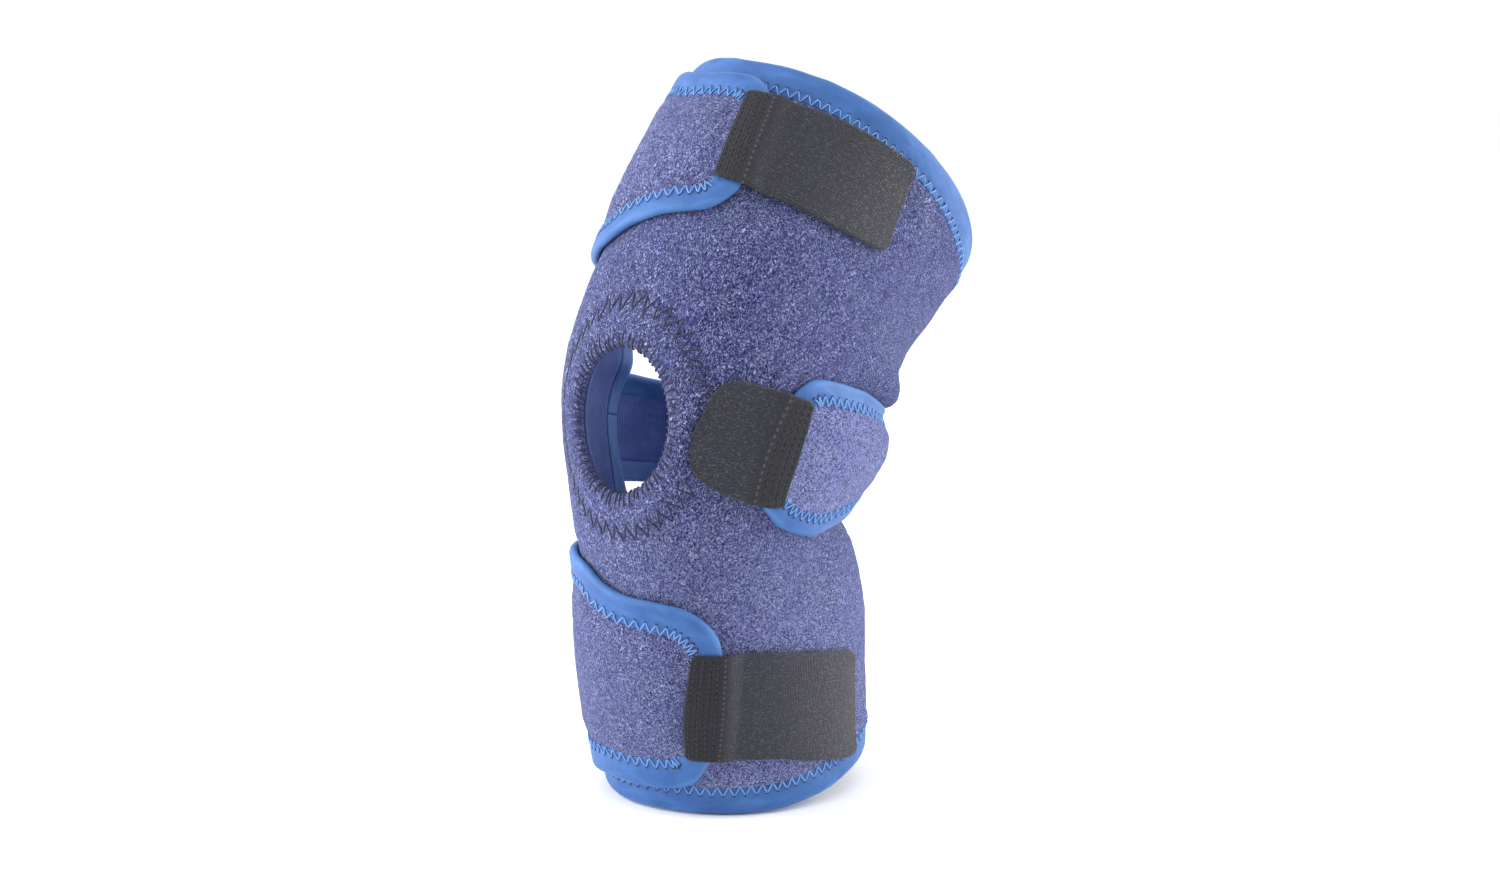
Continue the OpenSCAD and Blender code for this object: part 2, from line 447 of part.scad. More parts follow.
module mid_tab_base() color(webbing)
    tab_sewn(3, 61, 69, function (s) curve(mid_tab_sewn, s) + 0.2, function (s) curve(mid_tab_right, s),
        mid_tab_top, mid_tab_bottom);
module mid_tab_stitching() color(thread_blue) for (v = [0.2, 0.5, 0.8])
    thread(zigzag(14, function (t) let (s = mix(-27, 2, t)) [s, mix(curve(mid_tab_sewn, s), curve(mid_tab_right, s), v) - 0.8, k3 + tab_t - 0.1],
        function (t) let (s = mix(-27, 2, t)) [s, mix(curve(mid_tab_sewn, s), curve(mid_tab_right, s), v) + 0.8, k3 + tab_t - 0.1]), r = 0.25);
module mid_tab_backing() color(webbing)
    tab_skin([66, 56, 54, 52, 50, 48, 45, 41, 38, 35.5, 33.4, 32.6], mid_tab_sewn,
        mid_tab_top, mid_tab_bottom, -1, function (b) k3, function (b) k3 + tab_t);
module mid_tab_hooks() color(hook)
    tab_skin([47.5, 44.5, 41, 38, 35.5], mid_tab_sewn,
        mid_tab_top, mid_tab_bottom, -1, function (b) k3 - hook_t, function (b) k3 - 0.12, 2);

knee_panel();
upper_flex_panel();
lower_flex_panel();
patella_pad();
patella_rim_thread();
patella_pad_thread();
medial_edge_binding();
popliteal_binding();
mid_strap_base();
mid_strap_base_stitching();
thigh_panel();
top_binding();
top_binding_thread();
upper_wing_base();
upper_base_binding();
upper_seam_thread();
upper_wing();
upper_wing_binding();
upper_wing_thread();
upper_tab_base();
upper_tab_stitching();
upper_tab_backing();
upper_tab_hooks();
calf_panel();
bottom_binding();
bottom_binding_thread();
lower_wing_base();
lower_base_binding();
lower_seam_thread();
lower_wing();
lower_wing_binding();
lower_wing_thread();
lower_tab_base();
lower_tab_stitching();
lower_tab_backing();
lower_tab_hooks();
mid_strap();
mid_strap_binding();
mid_strap_thread();
mid_tab_base();
mid_tab_stitching();
mid_tab_backing();
mid_tab_hooks();
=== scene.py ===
import math
import bpy
import numpy as np
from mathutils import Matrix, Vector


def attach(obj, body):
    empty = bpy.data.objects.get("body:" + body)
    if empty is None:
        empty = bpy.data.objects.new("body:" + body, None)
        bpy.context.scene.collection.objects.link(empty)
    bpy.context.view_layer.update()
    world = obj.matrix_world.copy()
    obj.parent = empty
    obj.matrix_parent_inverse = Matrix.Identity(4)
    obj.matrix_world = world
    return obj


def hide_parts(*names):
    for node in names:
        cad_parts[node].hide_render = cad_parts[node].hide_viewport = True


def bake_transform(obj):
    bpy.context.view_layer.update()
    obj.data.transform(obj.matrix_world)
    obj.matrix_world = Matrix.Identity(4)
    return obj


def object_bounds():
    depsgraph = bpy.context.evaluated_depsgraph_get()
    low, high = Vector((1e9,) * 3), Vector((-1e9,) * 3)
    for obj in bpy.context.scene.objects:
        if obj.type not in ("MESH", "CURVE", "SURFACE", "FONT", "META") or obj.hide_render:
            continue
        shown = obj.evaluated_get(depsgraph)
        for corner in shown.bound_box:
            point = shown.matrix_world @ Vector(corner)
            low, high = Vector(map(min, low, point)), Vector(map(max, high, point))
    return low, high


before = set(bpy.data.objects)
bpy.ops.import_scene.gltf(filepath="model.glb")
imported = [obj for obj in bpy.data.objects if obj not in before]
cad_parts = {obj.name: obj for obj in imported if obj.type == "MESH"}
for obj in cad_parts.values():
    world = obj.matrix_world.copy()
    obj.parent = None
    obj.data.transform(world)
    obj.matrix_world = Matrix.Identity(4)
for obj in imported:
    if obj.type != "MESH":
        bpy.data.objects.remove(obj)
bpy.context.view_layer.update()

MM = 0.001

# ---------------------------------------------------------------- limb surface
# The same surface as the CAD: s runs along the limb in mm (+ up the thigh),
# a is the angle round it (0 front, 90 outer side, 180 back), o is mm above skin.
WIDE = [[-150, 47], [-120, 48], [-90, 48], [-60, 46.5], [-30, 50.5], [0, 56.5],
        [30, 56.5], [60, 57], [90, 59.5], [120, 62], [150, 65]]
FRONT = [[-150, 51.5], [-120, 54.5], [-90, 56.5], [-60, 56], [-30, 58.5], [0, 64.5],
         [30, 63.5], [60, 64], [90, 65.5], [120, 67.5], [150, 71.5]]
BACK = [[-150, 53], [-120, 55], [-90, 55.5], [-60, 56], [-30, 59], [0, 61],
        [30, 63.5], [60, 64.5], [90, 67], [120, 69], [150, 71.5]]
TOP_RIM = [[-102, 117], [-60, 117], [-27, 116], [0, 111.5], [20, 111], [35, 112],
           [65, 113], [113, 113.5], [180, 114]]
BOTTOM_RIM = [[-102, -149], [-20, -149.5], [7, -149], [45, -151.5], [64, -152],
              [86, -150.5], [105, -148.5], [140, -146], [180, -146]]
MEDIAL = [[-150, -80], [-80, -82], [-30, -92], [30, -96], [90, -100], [120, -100]]
UPPER_TOP = [[-180, 112], [-90, 114], [-50, 114.5], [-30, 109], [-17.5, 103],
             [-2, 101.5], [8.5, 100.5], [17, 97], [26, 93]]
UPPER_BOTTOM = [[-180, 84], [-150, 76], [-120, 60], [-90, 45], [-60, 37], [-30, 36.5],
                [-13.5, 40.5], [0, 43.5], [14.5, 46.5], [21.5, 50.5], [26, 55]]
UPPER_END = [[46, 19], [50.5, 22], [56, 24], [72, 21.5], [92, 19], [97, 17.5], [101, 16.5]]
LOWER_TOP = [[-180, -96], [-150, -92], [-120, -78], [-90, -62], [-60, -52],
             [-40, -50.5], [-20, -51.5], [-11.5, -55], [2.5, -58.5], [20.5, -61],
             [32, -64], [42, -69]]
LOWER_BOTTOM = [[-180, -144], [-90, -145], [-43, -142], [-18, -138.5], [15.5, -138],
                [26.5, -135.5], [33.5, -130], [42, -125]]
LOWER_END = [[-138, 33], [-130, 34.5], [-124, 36], [-104, 40], [-83, 43], [-75, 42],
             [-69, 40.5], [-64, 38]]
STRAP_TOP = [[58, 3.5], [61.5, 5], [65.5, 9], [76, 12.5], [90, 14.5], [101, 15.5],
             [120, 16], [150, 18], [180, 20], [210, 18], [240, 13], [266, 10], [282, 8]]
STRAP_BOTTOM = [[55, -28], [61, -34], [71.5, -40], [86, -45], [97, -45.5], [120, -46],
                [150, -46], [180, -48], [210, -47], [240, -42], [266, -37], [282, -34]]
STRAP_END = [[-34, 60], [-28, 57], [-13.5, 59.5], [3.5, 64], [9, 66]]
TABS = dict(
    upper=dict(left=[[56, 14], [73, 11.5], [93, 9.5]], sewn=[[56, 24], [72, 21.5], [92, 19]],
               top=[[9, 92.5], [20, 93.6], [44, 97.4], [65.5, 100.4], [72, 101], [82, 101.5]],
               bottom=[[9, 57], [14, 56.5], [31, 57], [43, 58], [59.5, 59.6], [70, 62],
                       [75, 63.8], [82, 66.5]], right=[[60, 79.6], [67, 79.2], [99, 72.2], [103, 71.2]],
               tip=78.0, turn=1, mid=75.0, r_tip=3.2),
    lower=dict(left=[[-126, 24], [-110, 25], [-95, 28], [-81, 31.5]],
               sewn=[[-126, 36], [-104, 40], [-83, 43]],
               top=[[24, -80.5], [31, -81], [56.5, -84], [75, -88.5], [90, -92.6], [106, -97.5]],
               bottom=[[24, -124.5], [60, -129.5], [80, -135.6], [93.7, -139.4], [106, -141.5]],
               right=[[-145, 102.4], [-118, 103.4], [-90, 102.6]], tip=103.2, turn=1, mid=-105.0, r_tip=4.2),
    mid=dict(left=[[-31, 67], [-13, 70.5], [4, 72]], sewn=[[-28, 57], [-13.5, 59.5], [3.5, 64]],
             top=[[32.6, -13], [33.4, -9], [35.5, -5], [38, 0.5], [41, 3.6], [45.5, 5.5],
                  [53.5, 5.5], [72, 4]],
             bottom=[[32.6, -16], [33.4, -19], [35.5, -21], [40.5, -24], [58, -29.5],
                     [67, -31]], right=[[-30, 32.6], [10, 32.6]], tip=32.6, turn=-1, mid=-12.0, r_tip=0.6))
HOLE_S, HOLE_A, HOLE_HALF, HOLE_ANGLE = -9.3, 0.8, 18.3, 22.7
PANEL, WING, TAB, HOOK = 4.0, 3.8, 1.2, 0.9
K1 = PANEL + 0.4
K2 = K1 + WING
K3 = K2 + 0.2


def ease(t):
    t = np.clip(t, 0, 1)
    return t * t * (3 - 2 * t)


def mix(a, b, t):
    return a + (b - a) * t


def curve(table, x):
    t = np.array(table, float)
    x = np.clip(np.asarray(x, float), t[0, 0], t[-1, 0])
    m = np.empty(len(t))
    m[1:-1] = (t[2:, 1] - t[:-2, 1]) / (t[2:, 0] - t[:-2, 0])
    m[0] = (t[1, 1] - t[0, 1]) / (t[1, 0] - t[0, 0])
    m[-1] = (t[-1, 1] - t[-2, 1]) / (t[-1, 0] - t[-2, 0])
    i = np.clip(np.searchsorted(t[:, 0], x, side="right") - 1, 0, len(t) - 2)
    h = t[i + 1, 0] - t[i, 0]
    u = np.clip((x - t[i, 0]) / h, 0, 1)
    u2, u3 = u * u, u * u * u
    return ((2 * u3 - 3 * u2 + 1) * t[i, 1] + (u3 - 2 * u2 + u) * h * m[i]
            + (3 * u2 - 2 * u3) * t[i + 1, 1] + (u3 - u2) * h * m[i + 1])


def lean(s):
    return np.radians(-7 + 53 * ease((np.asarray(s, float) - 8) / 150 + 0.5))


def centreline():
    up = [(0.0, 0.0)]
    for i in range(44):
        t = float(lean((i + 0.5) * 3))
        up.append((up[-1][0] + 3 * math.sin(t), up[-1][1] + 3 * math.cos(t)))
    down = [(0.0, 0.0)]
    for i in range(54):
        t = float(lean(-(i + 0.5) * 3))
        down.append((down[-1][0] - 3 * math.sin(t), down[-1][1] - 3 * math.cos(t)))
    line = down[::-1] + up[1:]
    return np.arange(-54, 45) * 3.0, np.array(line)


LINE_S, LINE = centreline()


def slack(s, a):
    """How far the fabric stands off the plain limb form: it pulls in under the
    strap's lower edge and fills out beneath the strap, on both sides and behind."""
    away = np.abs((a + 180) % 360 - 180)
    side = ease((away - 62) / 42)
    return side * (-6.0 * np.exp(-((s + 49) / 13.5) ** 2) + 2.0 * np.exp(-((s + 14) / 12) ** 2)
                   + 1.5 * np.exp(-((s + 88) / 22) ** 2) - 3.6 * np.exp(-((s - 12) / 7.5) ** 2)
                   + 3.0 * np.exp(-((s - 29) / 9) ** 2))


def P(s, a, o):
    """Points in metres for arrays of s, a in degrees and o."""
    s, a, o = np.broadcast_arrays(np.asarray(s, float), np.asarray(a, float), np.asarray(o, float))
    o = o + slack(s, a)
    t, r = lean(s), np.radians(a)
    c = np.cos(r)
    depth = np.where(c > 0, curve(FRONT, s), curve(BACK, s)) + o
    n = -depth * c
    y = np.interp(s, LINE_S, LINE[:, 0]) + n * np.cos(t)
    z = np.interp(s, LINE_S, LINE[:, 1]) - n * np.sin(t)
    return np.stack([(curve(WIDE, s) + o) * np.sin(r), y, z], -1) * MM


def medial(s):
    return curve(MEDIAL, s)


def back_edge(s):
    s = np.asarray(s, float)
    return np.where(s > 0, 180 - 38 * ease((84 - s) / 50), 180 - 38 * ease((s + 96) / 46))


def lattice(seed):
    return np.random.default_rng(seed).uniform(-1, 1, (128, 128))


def noise(x, y, size, seed):
    """Smooth seeded noise from -1 to 1 with features of about size mm."""
    g = lattice(seed)
    x, y = np.asarray(x, float) / size + 40, np.asarray(y, float) / size + 40
    i, j = np.floor(x).astype(int), np.floor(y).astype(int)
    u, v = ease(x - i), ease(y - j)
    i, j, i1, j1 = i % 128, j % 128, (i + 1) % 128, (j + 1) % 128
    return mix(mix(g[i, j], g[i1, j], u), mix(g[i, j1], g[i1, j1], u), v)


# ------------------------------------------------------------ what covers what
def outside_upper(s, a):
    a = np.where(a > 180, a - 360, a)
    return np.maximum.reduce([a - curve(UPPER_END, s), curve(UPPER_BOTTOM, a) - s, s - curve(UPPER_TOP, a)])


def outside_lower(s, a):
    a = np.where(a > 180, a - 360, a)
    return np.maximum.reduce([a - curve(LOWER_END, s), curve(LOWER_BOTTOM, a) - s, s - curve(LOWER_TOP, a)])


def outside_strap(s, a):
    a = np.where(a < 30, a + 360, a)
    return np.maximum.reduce([curve(STRAP_END, s) - a, a - 282, curve(STRAP_BOTTOM, a) - s, s - curve(STRAP_TOP, a)])


def outside_tab(key, s, a):
    t = TABS[key]
    if t["turn"] > 0:
        side = np.maximum(curve(t["left"], s) - a, a - curve(t["right"], s))
    else:
        side = np.maximum(a - curve(t["left"], s), curve(t["right"], s) - a)
    return np.maximum.reduce([side, curve(t["bottom"], a) - s, s - curve(t["top"], a)])


def exposed(s, a, reach=7.0, tabs=True):
    """0 where another layer lies on the main panel, rising to 1 away from it."""
    d = np.minimum.reduce([outside_upper(s, a), outside_lower(s, a), outside_strap(s, a)])
    if tabs:
        for key in TABS:
            d = np.minimum(d, outside_tab(key, s, a))
    return ease((d - 0.6) / reach)


def pile(s, a, seed=3):
    """Height of the nap's small clumps, about -1 to 1."""
    return (0.55 * noise(a + 0.3 * s, s, 1.7, seed) + 0.45 * noise(a - 0.2 * s, s * 0.8, 1.0, seed + 1))


def rho(s, a):
    return np.hypot((s - HOLE_S) / HOLE_HALF, (a - HOLE_A) / HOLE_ANGLE)


def main_outer(s, a):
    e, near = exposed(s, a), exposed(s, a, 3.0)
    q = rho(s, a)
    ring = 1.15 * np.exp(-((q - 1.31) / 0.2) ** 2) - 0.75 * np.exp(-((q - 1.68) / 0.075) ** 2)
    swell = (0.75 + 0.45 * noise(a, s, 31, 11) + 0.28 * noise(a, s * 1.3, 13, 12))
    above = 1.5 * np.exp(-((s - 24) / 9) ** 2) * ease((a - 95) / 30)
    below = 0.9 * np.exp(-((s + 58) / 8) ** 2) * ease((a - 80) / 30)
    return PANEL + near * ring + e * (swell + above + below) * ease((q - 1.15) / 0.9) + 0.27 * pile(s, a) * (0.25 + 0.75 * near)


def swell_on(s, a, dist, tabs, seed):
    """Crown of a padded wing or strap: dist is mm in from its tape."""
    clear = np.ones_like(s)
    for key in tabs:
        clear = np.minimum(clear, ease((outside_tab(key, s, a) - 0.8) / 7))
    crown = 1.25 * ease(dist / 9) + 0.35 * noise(a, s, 17, seed) * ease(dist / 6)
    return clear * np.maximum(crown, -0.2) + 0.24 * pile(s, a, seed + 1) * (0.08 + 0.92 * clear)


# ----------------------------------------------------------------- mesh makers
def new_object(name, verts, faces, mats, cloth=None, face_mat=None, smooth=True):
    mesh = bpy.data.meshes.new(name)
    verts = np.asarray(verts, np.float32)
    faces = np.asarray(faces, np.int32)
    n, k = faces.shape
    mesh.vertices.add(len(verts))
    mesh.vertices.foreach_set("co", verts.ravel())
    mesh.loops.add(n * k)
    mesh.loops.foreach_set("vertex_index", faces.ravel())
    mesh.polygons.add(n)
    mesh.polygons.foreach_set("loop_start", np.arange(0, n * k, k, dtype=np.int32))
    mesh.update(calc_edges=True)
    if face_mat is not None:
        mesh.polygons.foreach_set("material_index", np.asarray(face_mat, np.int32))
    mesh.polygons.foreach_set("use_smooth", np.full(n, smooth))
    if cloth is not None:
        at = mesh.attributes.new("cloth", "FLOAT_VECTOR", "POINT")
        at.data.foreach_set("vector", np.asarray(cloth, np.float32).ravel())
    for m in mats if isinstance(mats, (list, tuple)) else [mats]:
        mesh.materials.append(m)
    mesh.validate()
    mesh.update()
    obj = bpy.data.objects.new(name, mesh)
    bpy.context.scene.collection.objects.link(obj)
    return obj


def quads(i, rows, cols):
    """Quads over index grid i, closed or open by what it holds."""
    return np.stack([i[:-1, :-1], i[:-1, 1:], i[1:, 1:], i[1:, :-1]], -1).reshape(-1, 4)


def grid_solid(name, s, a, outer, inner, mats, flip=False, sharp_row=False):
    """A closed padded piece between an outer and an inner skin over one grid."""
    m, n = s.shape
    top, low = P(s, a, outer), P(s, a, inner)
    ia = np.arange(m * n).reshape(m, n)
    ib = ia + m * n
    f = [quads(ia, m, n), quads(ib, m, n)[:, ::-1]]
    walls = [(ia[0], ib[0], 1), (ia[-1], ib[-1], 0), (ia[:, 0], ib[:, 0], 0), (ia[:, -1], ib[:, -1], 1)]
    for p, q, way in walls:
        w = np.stack([p[:-1], q[:-1], q[1:], p[1:]], -1)
        f.append(w if not way else w[:, ::-1])
    kinds = np.concatenate([np.zeros(len(f[0])), np.ones(len(f[1])), np.zeros(sum(len(x) for x in f[2:]))])
    faces = np.concatenate(f)
    if flip:
        faces = faces[:, ::-1]
    arc = a * 1.02
    cloth = np.concatenate([np.stack([arc, s, outer], -1).reshape(-1, 3), np.stack([arc, s, inner - 9], -1).reshape(-1, 3)])
    obj = new_object(name, np.concatenate([top.reshape(-1, 3), low.reshape(-1, 3)]), faces, mats, cloth, kinds)
    if sharp_row:
        mesh = obj.data
        e = np.zeros(len(mesh.edges) * 2, np.int32)
        mesh.edges.foreach_get("vertices", e)
        e = e.reshape(-1, 2)
        row = np.concatenate([ia[0], ib[0]])
        hit = np.isin(e[:, 0], row) & np.isin(e[:, 1], row)
        at = mesh.attributes.get("sharp_edge") or mesh.attributes.new("sharp_edge", "BOOLEAN", "EDGE")
        at.data.foreach_set("value", hit)
    return obj


def frame_at(s, a, o):
    """Local scale on the surface: mm per s and mm per degree."""
    ds = (P(s + 0.5, a, o) - P(s - 0.5, a, o)) / MM
    da = (P(s, a + 0.5, o) - P(s, a - 0.5, o)) / MM
    ls, la = np.linalg.norm(ds, axis=-1), np.linalg.norm(da, axis=-1)
    return ls, la


def resample(s, a, o, step):
    """Points evenly spaced along a line on the surface."""
    p = P(s, a, o) / MM
    d = np.concatenate([[0], np.cumsum(np.linalg.norm(np.diff(p, axis=0), axis=1))])
    n = max(4, int(round(d[-1] / step)))
    t = np.linspace(0, d[-1], n + 1)
    return np.interp(t, d, s), np.interp(t, d, a), t


def blur(v, k):
    w = np.exp(-0.5 * (np.arange(-3 * k, 3 * k + 1) / k) ** 2)
    return np.convolve(np.pad(v, 3 * k, mode="reflect", reflect_type="odd"), w / w.sum(), "valid")


def inward(s, a, o, side):
    """Unit step into the cloth from its edge, as (ds, da) per mm."""
    ls, la = frame_at(s, a, o)
    ts, ta = np.gradient(s) * ls, np.gradient(a) * la
    n = np.hypot(ts, ta)
    ts, ta = ts / n, ta / n
    turn = np.abs(np.gradient(np.unwrap(np.arctan2(ts, ta))))
    ns, na = side * ta, -side * ts
    return ns / ls, na / la, turn


def tape(name, s, a, base, thick, width, side, mat, flat=None, step=1.05, seed=21, puff=0.5):
    """Binding tape folded over the edge line (s, a) of a layer of that thickness
    lying base mm above the skin. side is 1 if the cloth is to the left of the
    line's direction in the (angle, s) plane. flat is 1 where nothing may swell."""
    s, a, dist = resample(np.asarray(s, float), np.asarray(a, float), K1, step)
    s, a = blur(s, 2), blur(a, 2)
    o = base(a) if callable(base) else np.full_like(s, base)
    w = width(s, a) if callable(width) else np.full_like(s, float(width))
    ds, da, turn = inward(s, a, o, side)
    w = blur(np.minimum(w, 0.9 * step / np.maximum(blur(turn, 2), 1e-4)), 3)
    ease_off = np.ones_like(s) if flat is None else 1 - flat(s, a)
    h = thick / 2
    r = h + 0.25
    sec = [(1.0, h - 0.75, 0), (0.995, h - 0.3, 0), (0.97, h - 0.02, 0), (0.9, h + 0.02, 0), (0.83, h - 0.13, 0.6),
           (0.77, h - 0.22, 1), (0.7, h - 0.08, 0.7), (0.62, h + 0.1, 0.3), (0.5, h + 0.25, 0), (0.38, h + 0.27, 0)]
    rows = []
    for v, off, dip in sec:
        wave = 0.16 * np.cos(dist * 2 * np.pi / 4.5) * dip + 0.05 * noise(dist, v * 9 + 0 * dist, 2.3, seed)
        lift = np.where(off > h, (off - h) * 2 * puff * ease_off, off - h)
        rows.append((v * w, h + lift + np.minimum(wave, 0.0) + wave.clip(0) * ease_off))
    for t in (75, 55, 35, 15, -5, -28, -50, -72):
        t = math.radians(t)
        edge = 0.18 * noise(dist, 0 * dist, 6.5, seed + 2) * math.cos(t) * ease_off
        up = (h + 0.5 * puff * ease_off * 0.9) if t > 0 else h
        rows.append((1.15 * r * (1 - math.cos(t)) - edge, up * math.sin(t) + 0 * s))
    for v, off in ((0.3, -h), (0.55, -h), (0.8, -h + 0.02), (0.99, -h + 0.05), (1.0, -h + 0.3)):
        rows.append((v * w, np.full_like(s, off)))
    k = 0.62
    for v, off in ((0.985, -h + k), (0.6, -h + k)):
        rows.append((v * w, np.full_like(s, off)))
    for t in (-60, -20, 20, 60):
        t = math.radians(t)
        rows.append((np.full_like(s, k + 1.15 * (r - k) * (1 - math.cos(t))), np.full_like(s, (h - k) * math.sin(t))))
    for v, off in ((0.6, h - k), (0.985, h - k - 0.25)):
        rows.append((v * w, np.full_like(s, off)))
    v = np.stack([x[0] for x in rows], -1)
    off = np.stack([x[1] for x in rows], -1) + h
    S, A = s[:, None] + v * ds[:, None], a[:, None] + v * da[:, None]
    O = (o[:, None] if not callable(base) else base(A)) + off
    pts = P(S, A, O)
    m, n = S.shape
    i = np.arange(m * n).reshape(m, n)
    i = np.concatenate([i, i[:, :1]], 1)
    faces = quads(i, m, n)
    if side > 0:
        faces = faces[:, ::-1]
    cloth = np.stack([np.broadcast_to(dist[:, None], v.shape), v, off], -1).reshape(-1, 3)
    obj = new_object(name, pts.reshape(-1, 3), faces, mat, cloth)
    fix_caps(obj)
    return obj, (s, a, o, ds, da, w, dist)


def fix_caps(obj):
    """Fills any hole that is left in a closed piece and makes its faces face out."""
    import bmesh
    bm = bmesh.new()
    bm.from_mesh(obj.data)
    rim = [e for e in bm.edges if len(e.link_faces) == 1]
    if rim:
        bmesh.ops.holes_fill(bm, edges=rim, sides=0)
    bmesh.ops.recalc_face_normals(bm, faces=bm.faces)
    bm.to_mesh(obj.data)
    bm.free()
    for p in obj.data.polygons:
        p.use_smooth = True


def tubes(name, lines, radius, mat, sides=6, flat=1.0):
    """Thread along each line of points, as closed tubes in one mesh."""
    V, F, C = [], [], []
    count = 0
    for line in lines:
        p = np.asarray(line, float)
        t = np.gradient(p, axis=0)
        t /= np.maximum(np.linalg.norm(t, axis=1, keepdims=True), 1e-12)
        up = p * [1, 1, 0.3]
        up /= np.maximum(np.linalg.norm(up, axis=1, keepdims=True), 1e-12)
        b = np.cross(t, up)
        b /= np.maximum(np.linalg.norm(b, axis=1, keepdims=True), 1e-9)
        u = np.cross(b, t)
        g = np.arange(sides) * 2 * np.pi / sides
        n = len(p)
        rad = np.full(n, radius)
        rad[0] = rad[-1] = radius * 0.55
        ring = p[:, None] + rad[:, None, None] * (np.cos(g)[None, :, None] * b[:, None] + flat * np.sin(g)[None, :, None] * u[:, None])
        i = np.arange(n * sides).reshape(n, sides) + count
        i2 = np.concatenate([i, i[:, :1]], 1)
        f = quads(i2, n, sides + 1)
        caps = []
        for q, row in ((1, i[0]), (0, i[-1])):
            c = np.array([[row[0], row[1], row[2], row[3]], [row[0], row[3], row[4], row[5]]])
            caps.append(c if q else c[:, ::-1])
        V.append(ring.reshape(-1, 3))
        F += [f, caps[0][:, ::-1], caps[1][:, ::-1]]
        d = np.concatenate([[0], np.cumsum(np.linalg.norm(np.diff(p, axis=0), axis=1))]) / MM
        C.append(np.stack([np.broadcast_to(d[:, None], (n, sides)), np.broadcast_to(np.arange(sides)[None] * 1.0, (n, sides)), np.zeros((n, sides))], -1).reshape(-1, 3))
        count += n * sides
    obj = new_object(name, np.concatenate(V), np.concatenate(F), mat, np.concatenate(C))
    recalc(obj)
    return obj


def recalc(obj):
    import bmesh
    bm = bmesh.new()
    bm.from_mesh(obj.data)
    bmesh.ops.recalc_face_normals(bm, faces=bm.faces)
    bm.to_mesh(obj.data)
    bm.free()


def dots(name, s, a, o, radius, mat):
    """Small flattened beads in navy thread colour: painted shade standing in for the dark mouths of the needle holes.
    """
    V, F = [], []
    c = P(s, a, o)
    up = P(s, a, o + 1) - c
    up /= np.linalg.norm(up, axis=1, keepdims=True)
    t = P(s + 1, a, o) - c
    t /= np.linalg.norm(t, axis=1, keepdims=True)
    b = np.cross(up, t)
    g = np.arange(6) * np.pi / 3
    for k in range(len(c)):
        ring = c[k] + radius * (np.cos(g)[:, None] * t[k] + np.sin(g)[:, None] * b[k])
        V += [ring, ring + up[k] * radius * 0.35]
        i = np.arange(6) + 12 * k
        j = i + 6
        F += [np.stack([i, np.roll(i, -1), np.roll(j, -1), j], -1)]
        F += [np.array([[j[0], j[1], j[2], j[3]], [j[0], j[3], j[4], j[5]]])]
        F += [np.array([[i[3], i[2], i[1], i[0]], [i[5], i[4], i[3], i[0]]])]
    obj = new_object(name, np.concatenate(V), np.concatenate(F), mat, smooth=False)
    recalc(obj)
    return obj


def tape_top(x, puff):
    """Height of a tape's outer face over its layer's, at x from its fold (0) to its inner edge (1)."""
    return np.interp(x, [0.38, 0.5, 0.62, 0.7, 0.77, 0.83, 0.9, 0.97, 1.0],
                     [0.54 * puff, 0.5 * puff, 0.2 * puff, -0.08, -0.22, -0.13, 0.02, -0.02, -0.35])


def coverstitch(name, edge, height, mat, hole_mat, from_mm=0.0, to_mm=None, inner=None, pitch=4.5, seed=5, keep=None):
    """Zigzag thread over the inner edge of a tape: edge is what tape() gives,
    height(s, a, v) the surface's height at v mm in from the cloth's edge."""
    s, a, o, ds, da, w, dist = edge
    to_mm = dist[-1] if to_mm is None else to_mm
    n = int((to_mm - from_mm) / (pitch / 2))
    rng = np.random.default_rng(seed)
    knots = np.linspace(from_mm, to_mm, n + 1)
    knots[1:-1] += rng.uniform(-0.16, 0.16, n - 1)
    lines, holes = [], []

    def at(d, v):
        S, A = np.interp(d, dist, s), np.interp(d, dist, a)
        S, A = S + v * np.interp(d, dist, ds), A + v * np.interp(d, dist, da)
        return S, A

    run = []
    for k in range(n):
        wa, wb = np.interp(knots[k], dist, w), np.interp(knots[k + 1], dist, w)
        lo, hi = (lambda x: x - 3.6), (lambda x: x + 0.6)
        va, vb = (lo(wa), hi(wb)) if k % 2 == 0 else (hi(wa), lo(wb))
        t = np.linspace(0, 1, 6)
        d = mix(knots[k], knots[k + 1], t)
        v = mix(va, vb, t)
        S, A = at(d, v)
        lift = 0.32 * np.sin(np.pi * t) ** 0.7 + 0.02
        ok = keep is None or bool(keep(S, A).all())
        if ok:
            H = height(S, A, v)
            pts = P(S, A, np.maximum(H, np.interp(t, [0, 1], [H[0], H[-1]])) + lift)
            run = list(pts) if not run else run + list(pts[1:])
            if k % 2 == 1 or k == 0:
                j = -1 if k % 2 == 1 else 0
                holes.append((S[j], A[j], H[j]))
        if (not ok or k == n - 1) and run:
            lines.append(np.array(run))
            run = []
    obj = tubes(name, lines, 0.3 * MM, mat, flat=0.8)
    h = np.array(holes)
    return obj, h


# ------------------------------------------------------------------- materials
def lin(r, g, b):
    f = lambda c: (c / 255 / 12.92) if c / 255 <= 0.04045 else ((c / 255 + 0.055) / 1.055) ** 2.4
    return (f(r), f(g), f(b), 1.0)


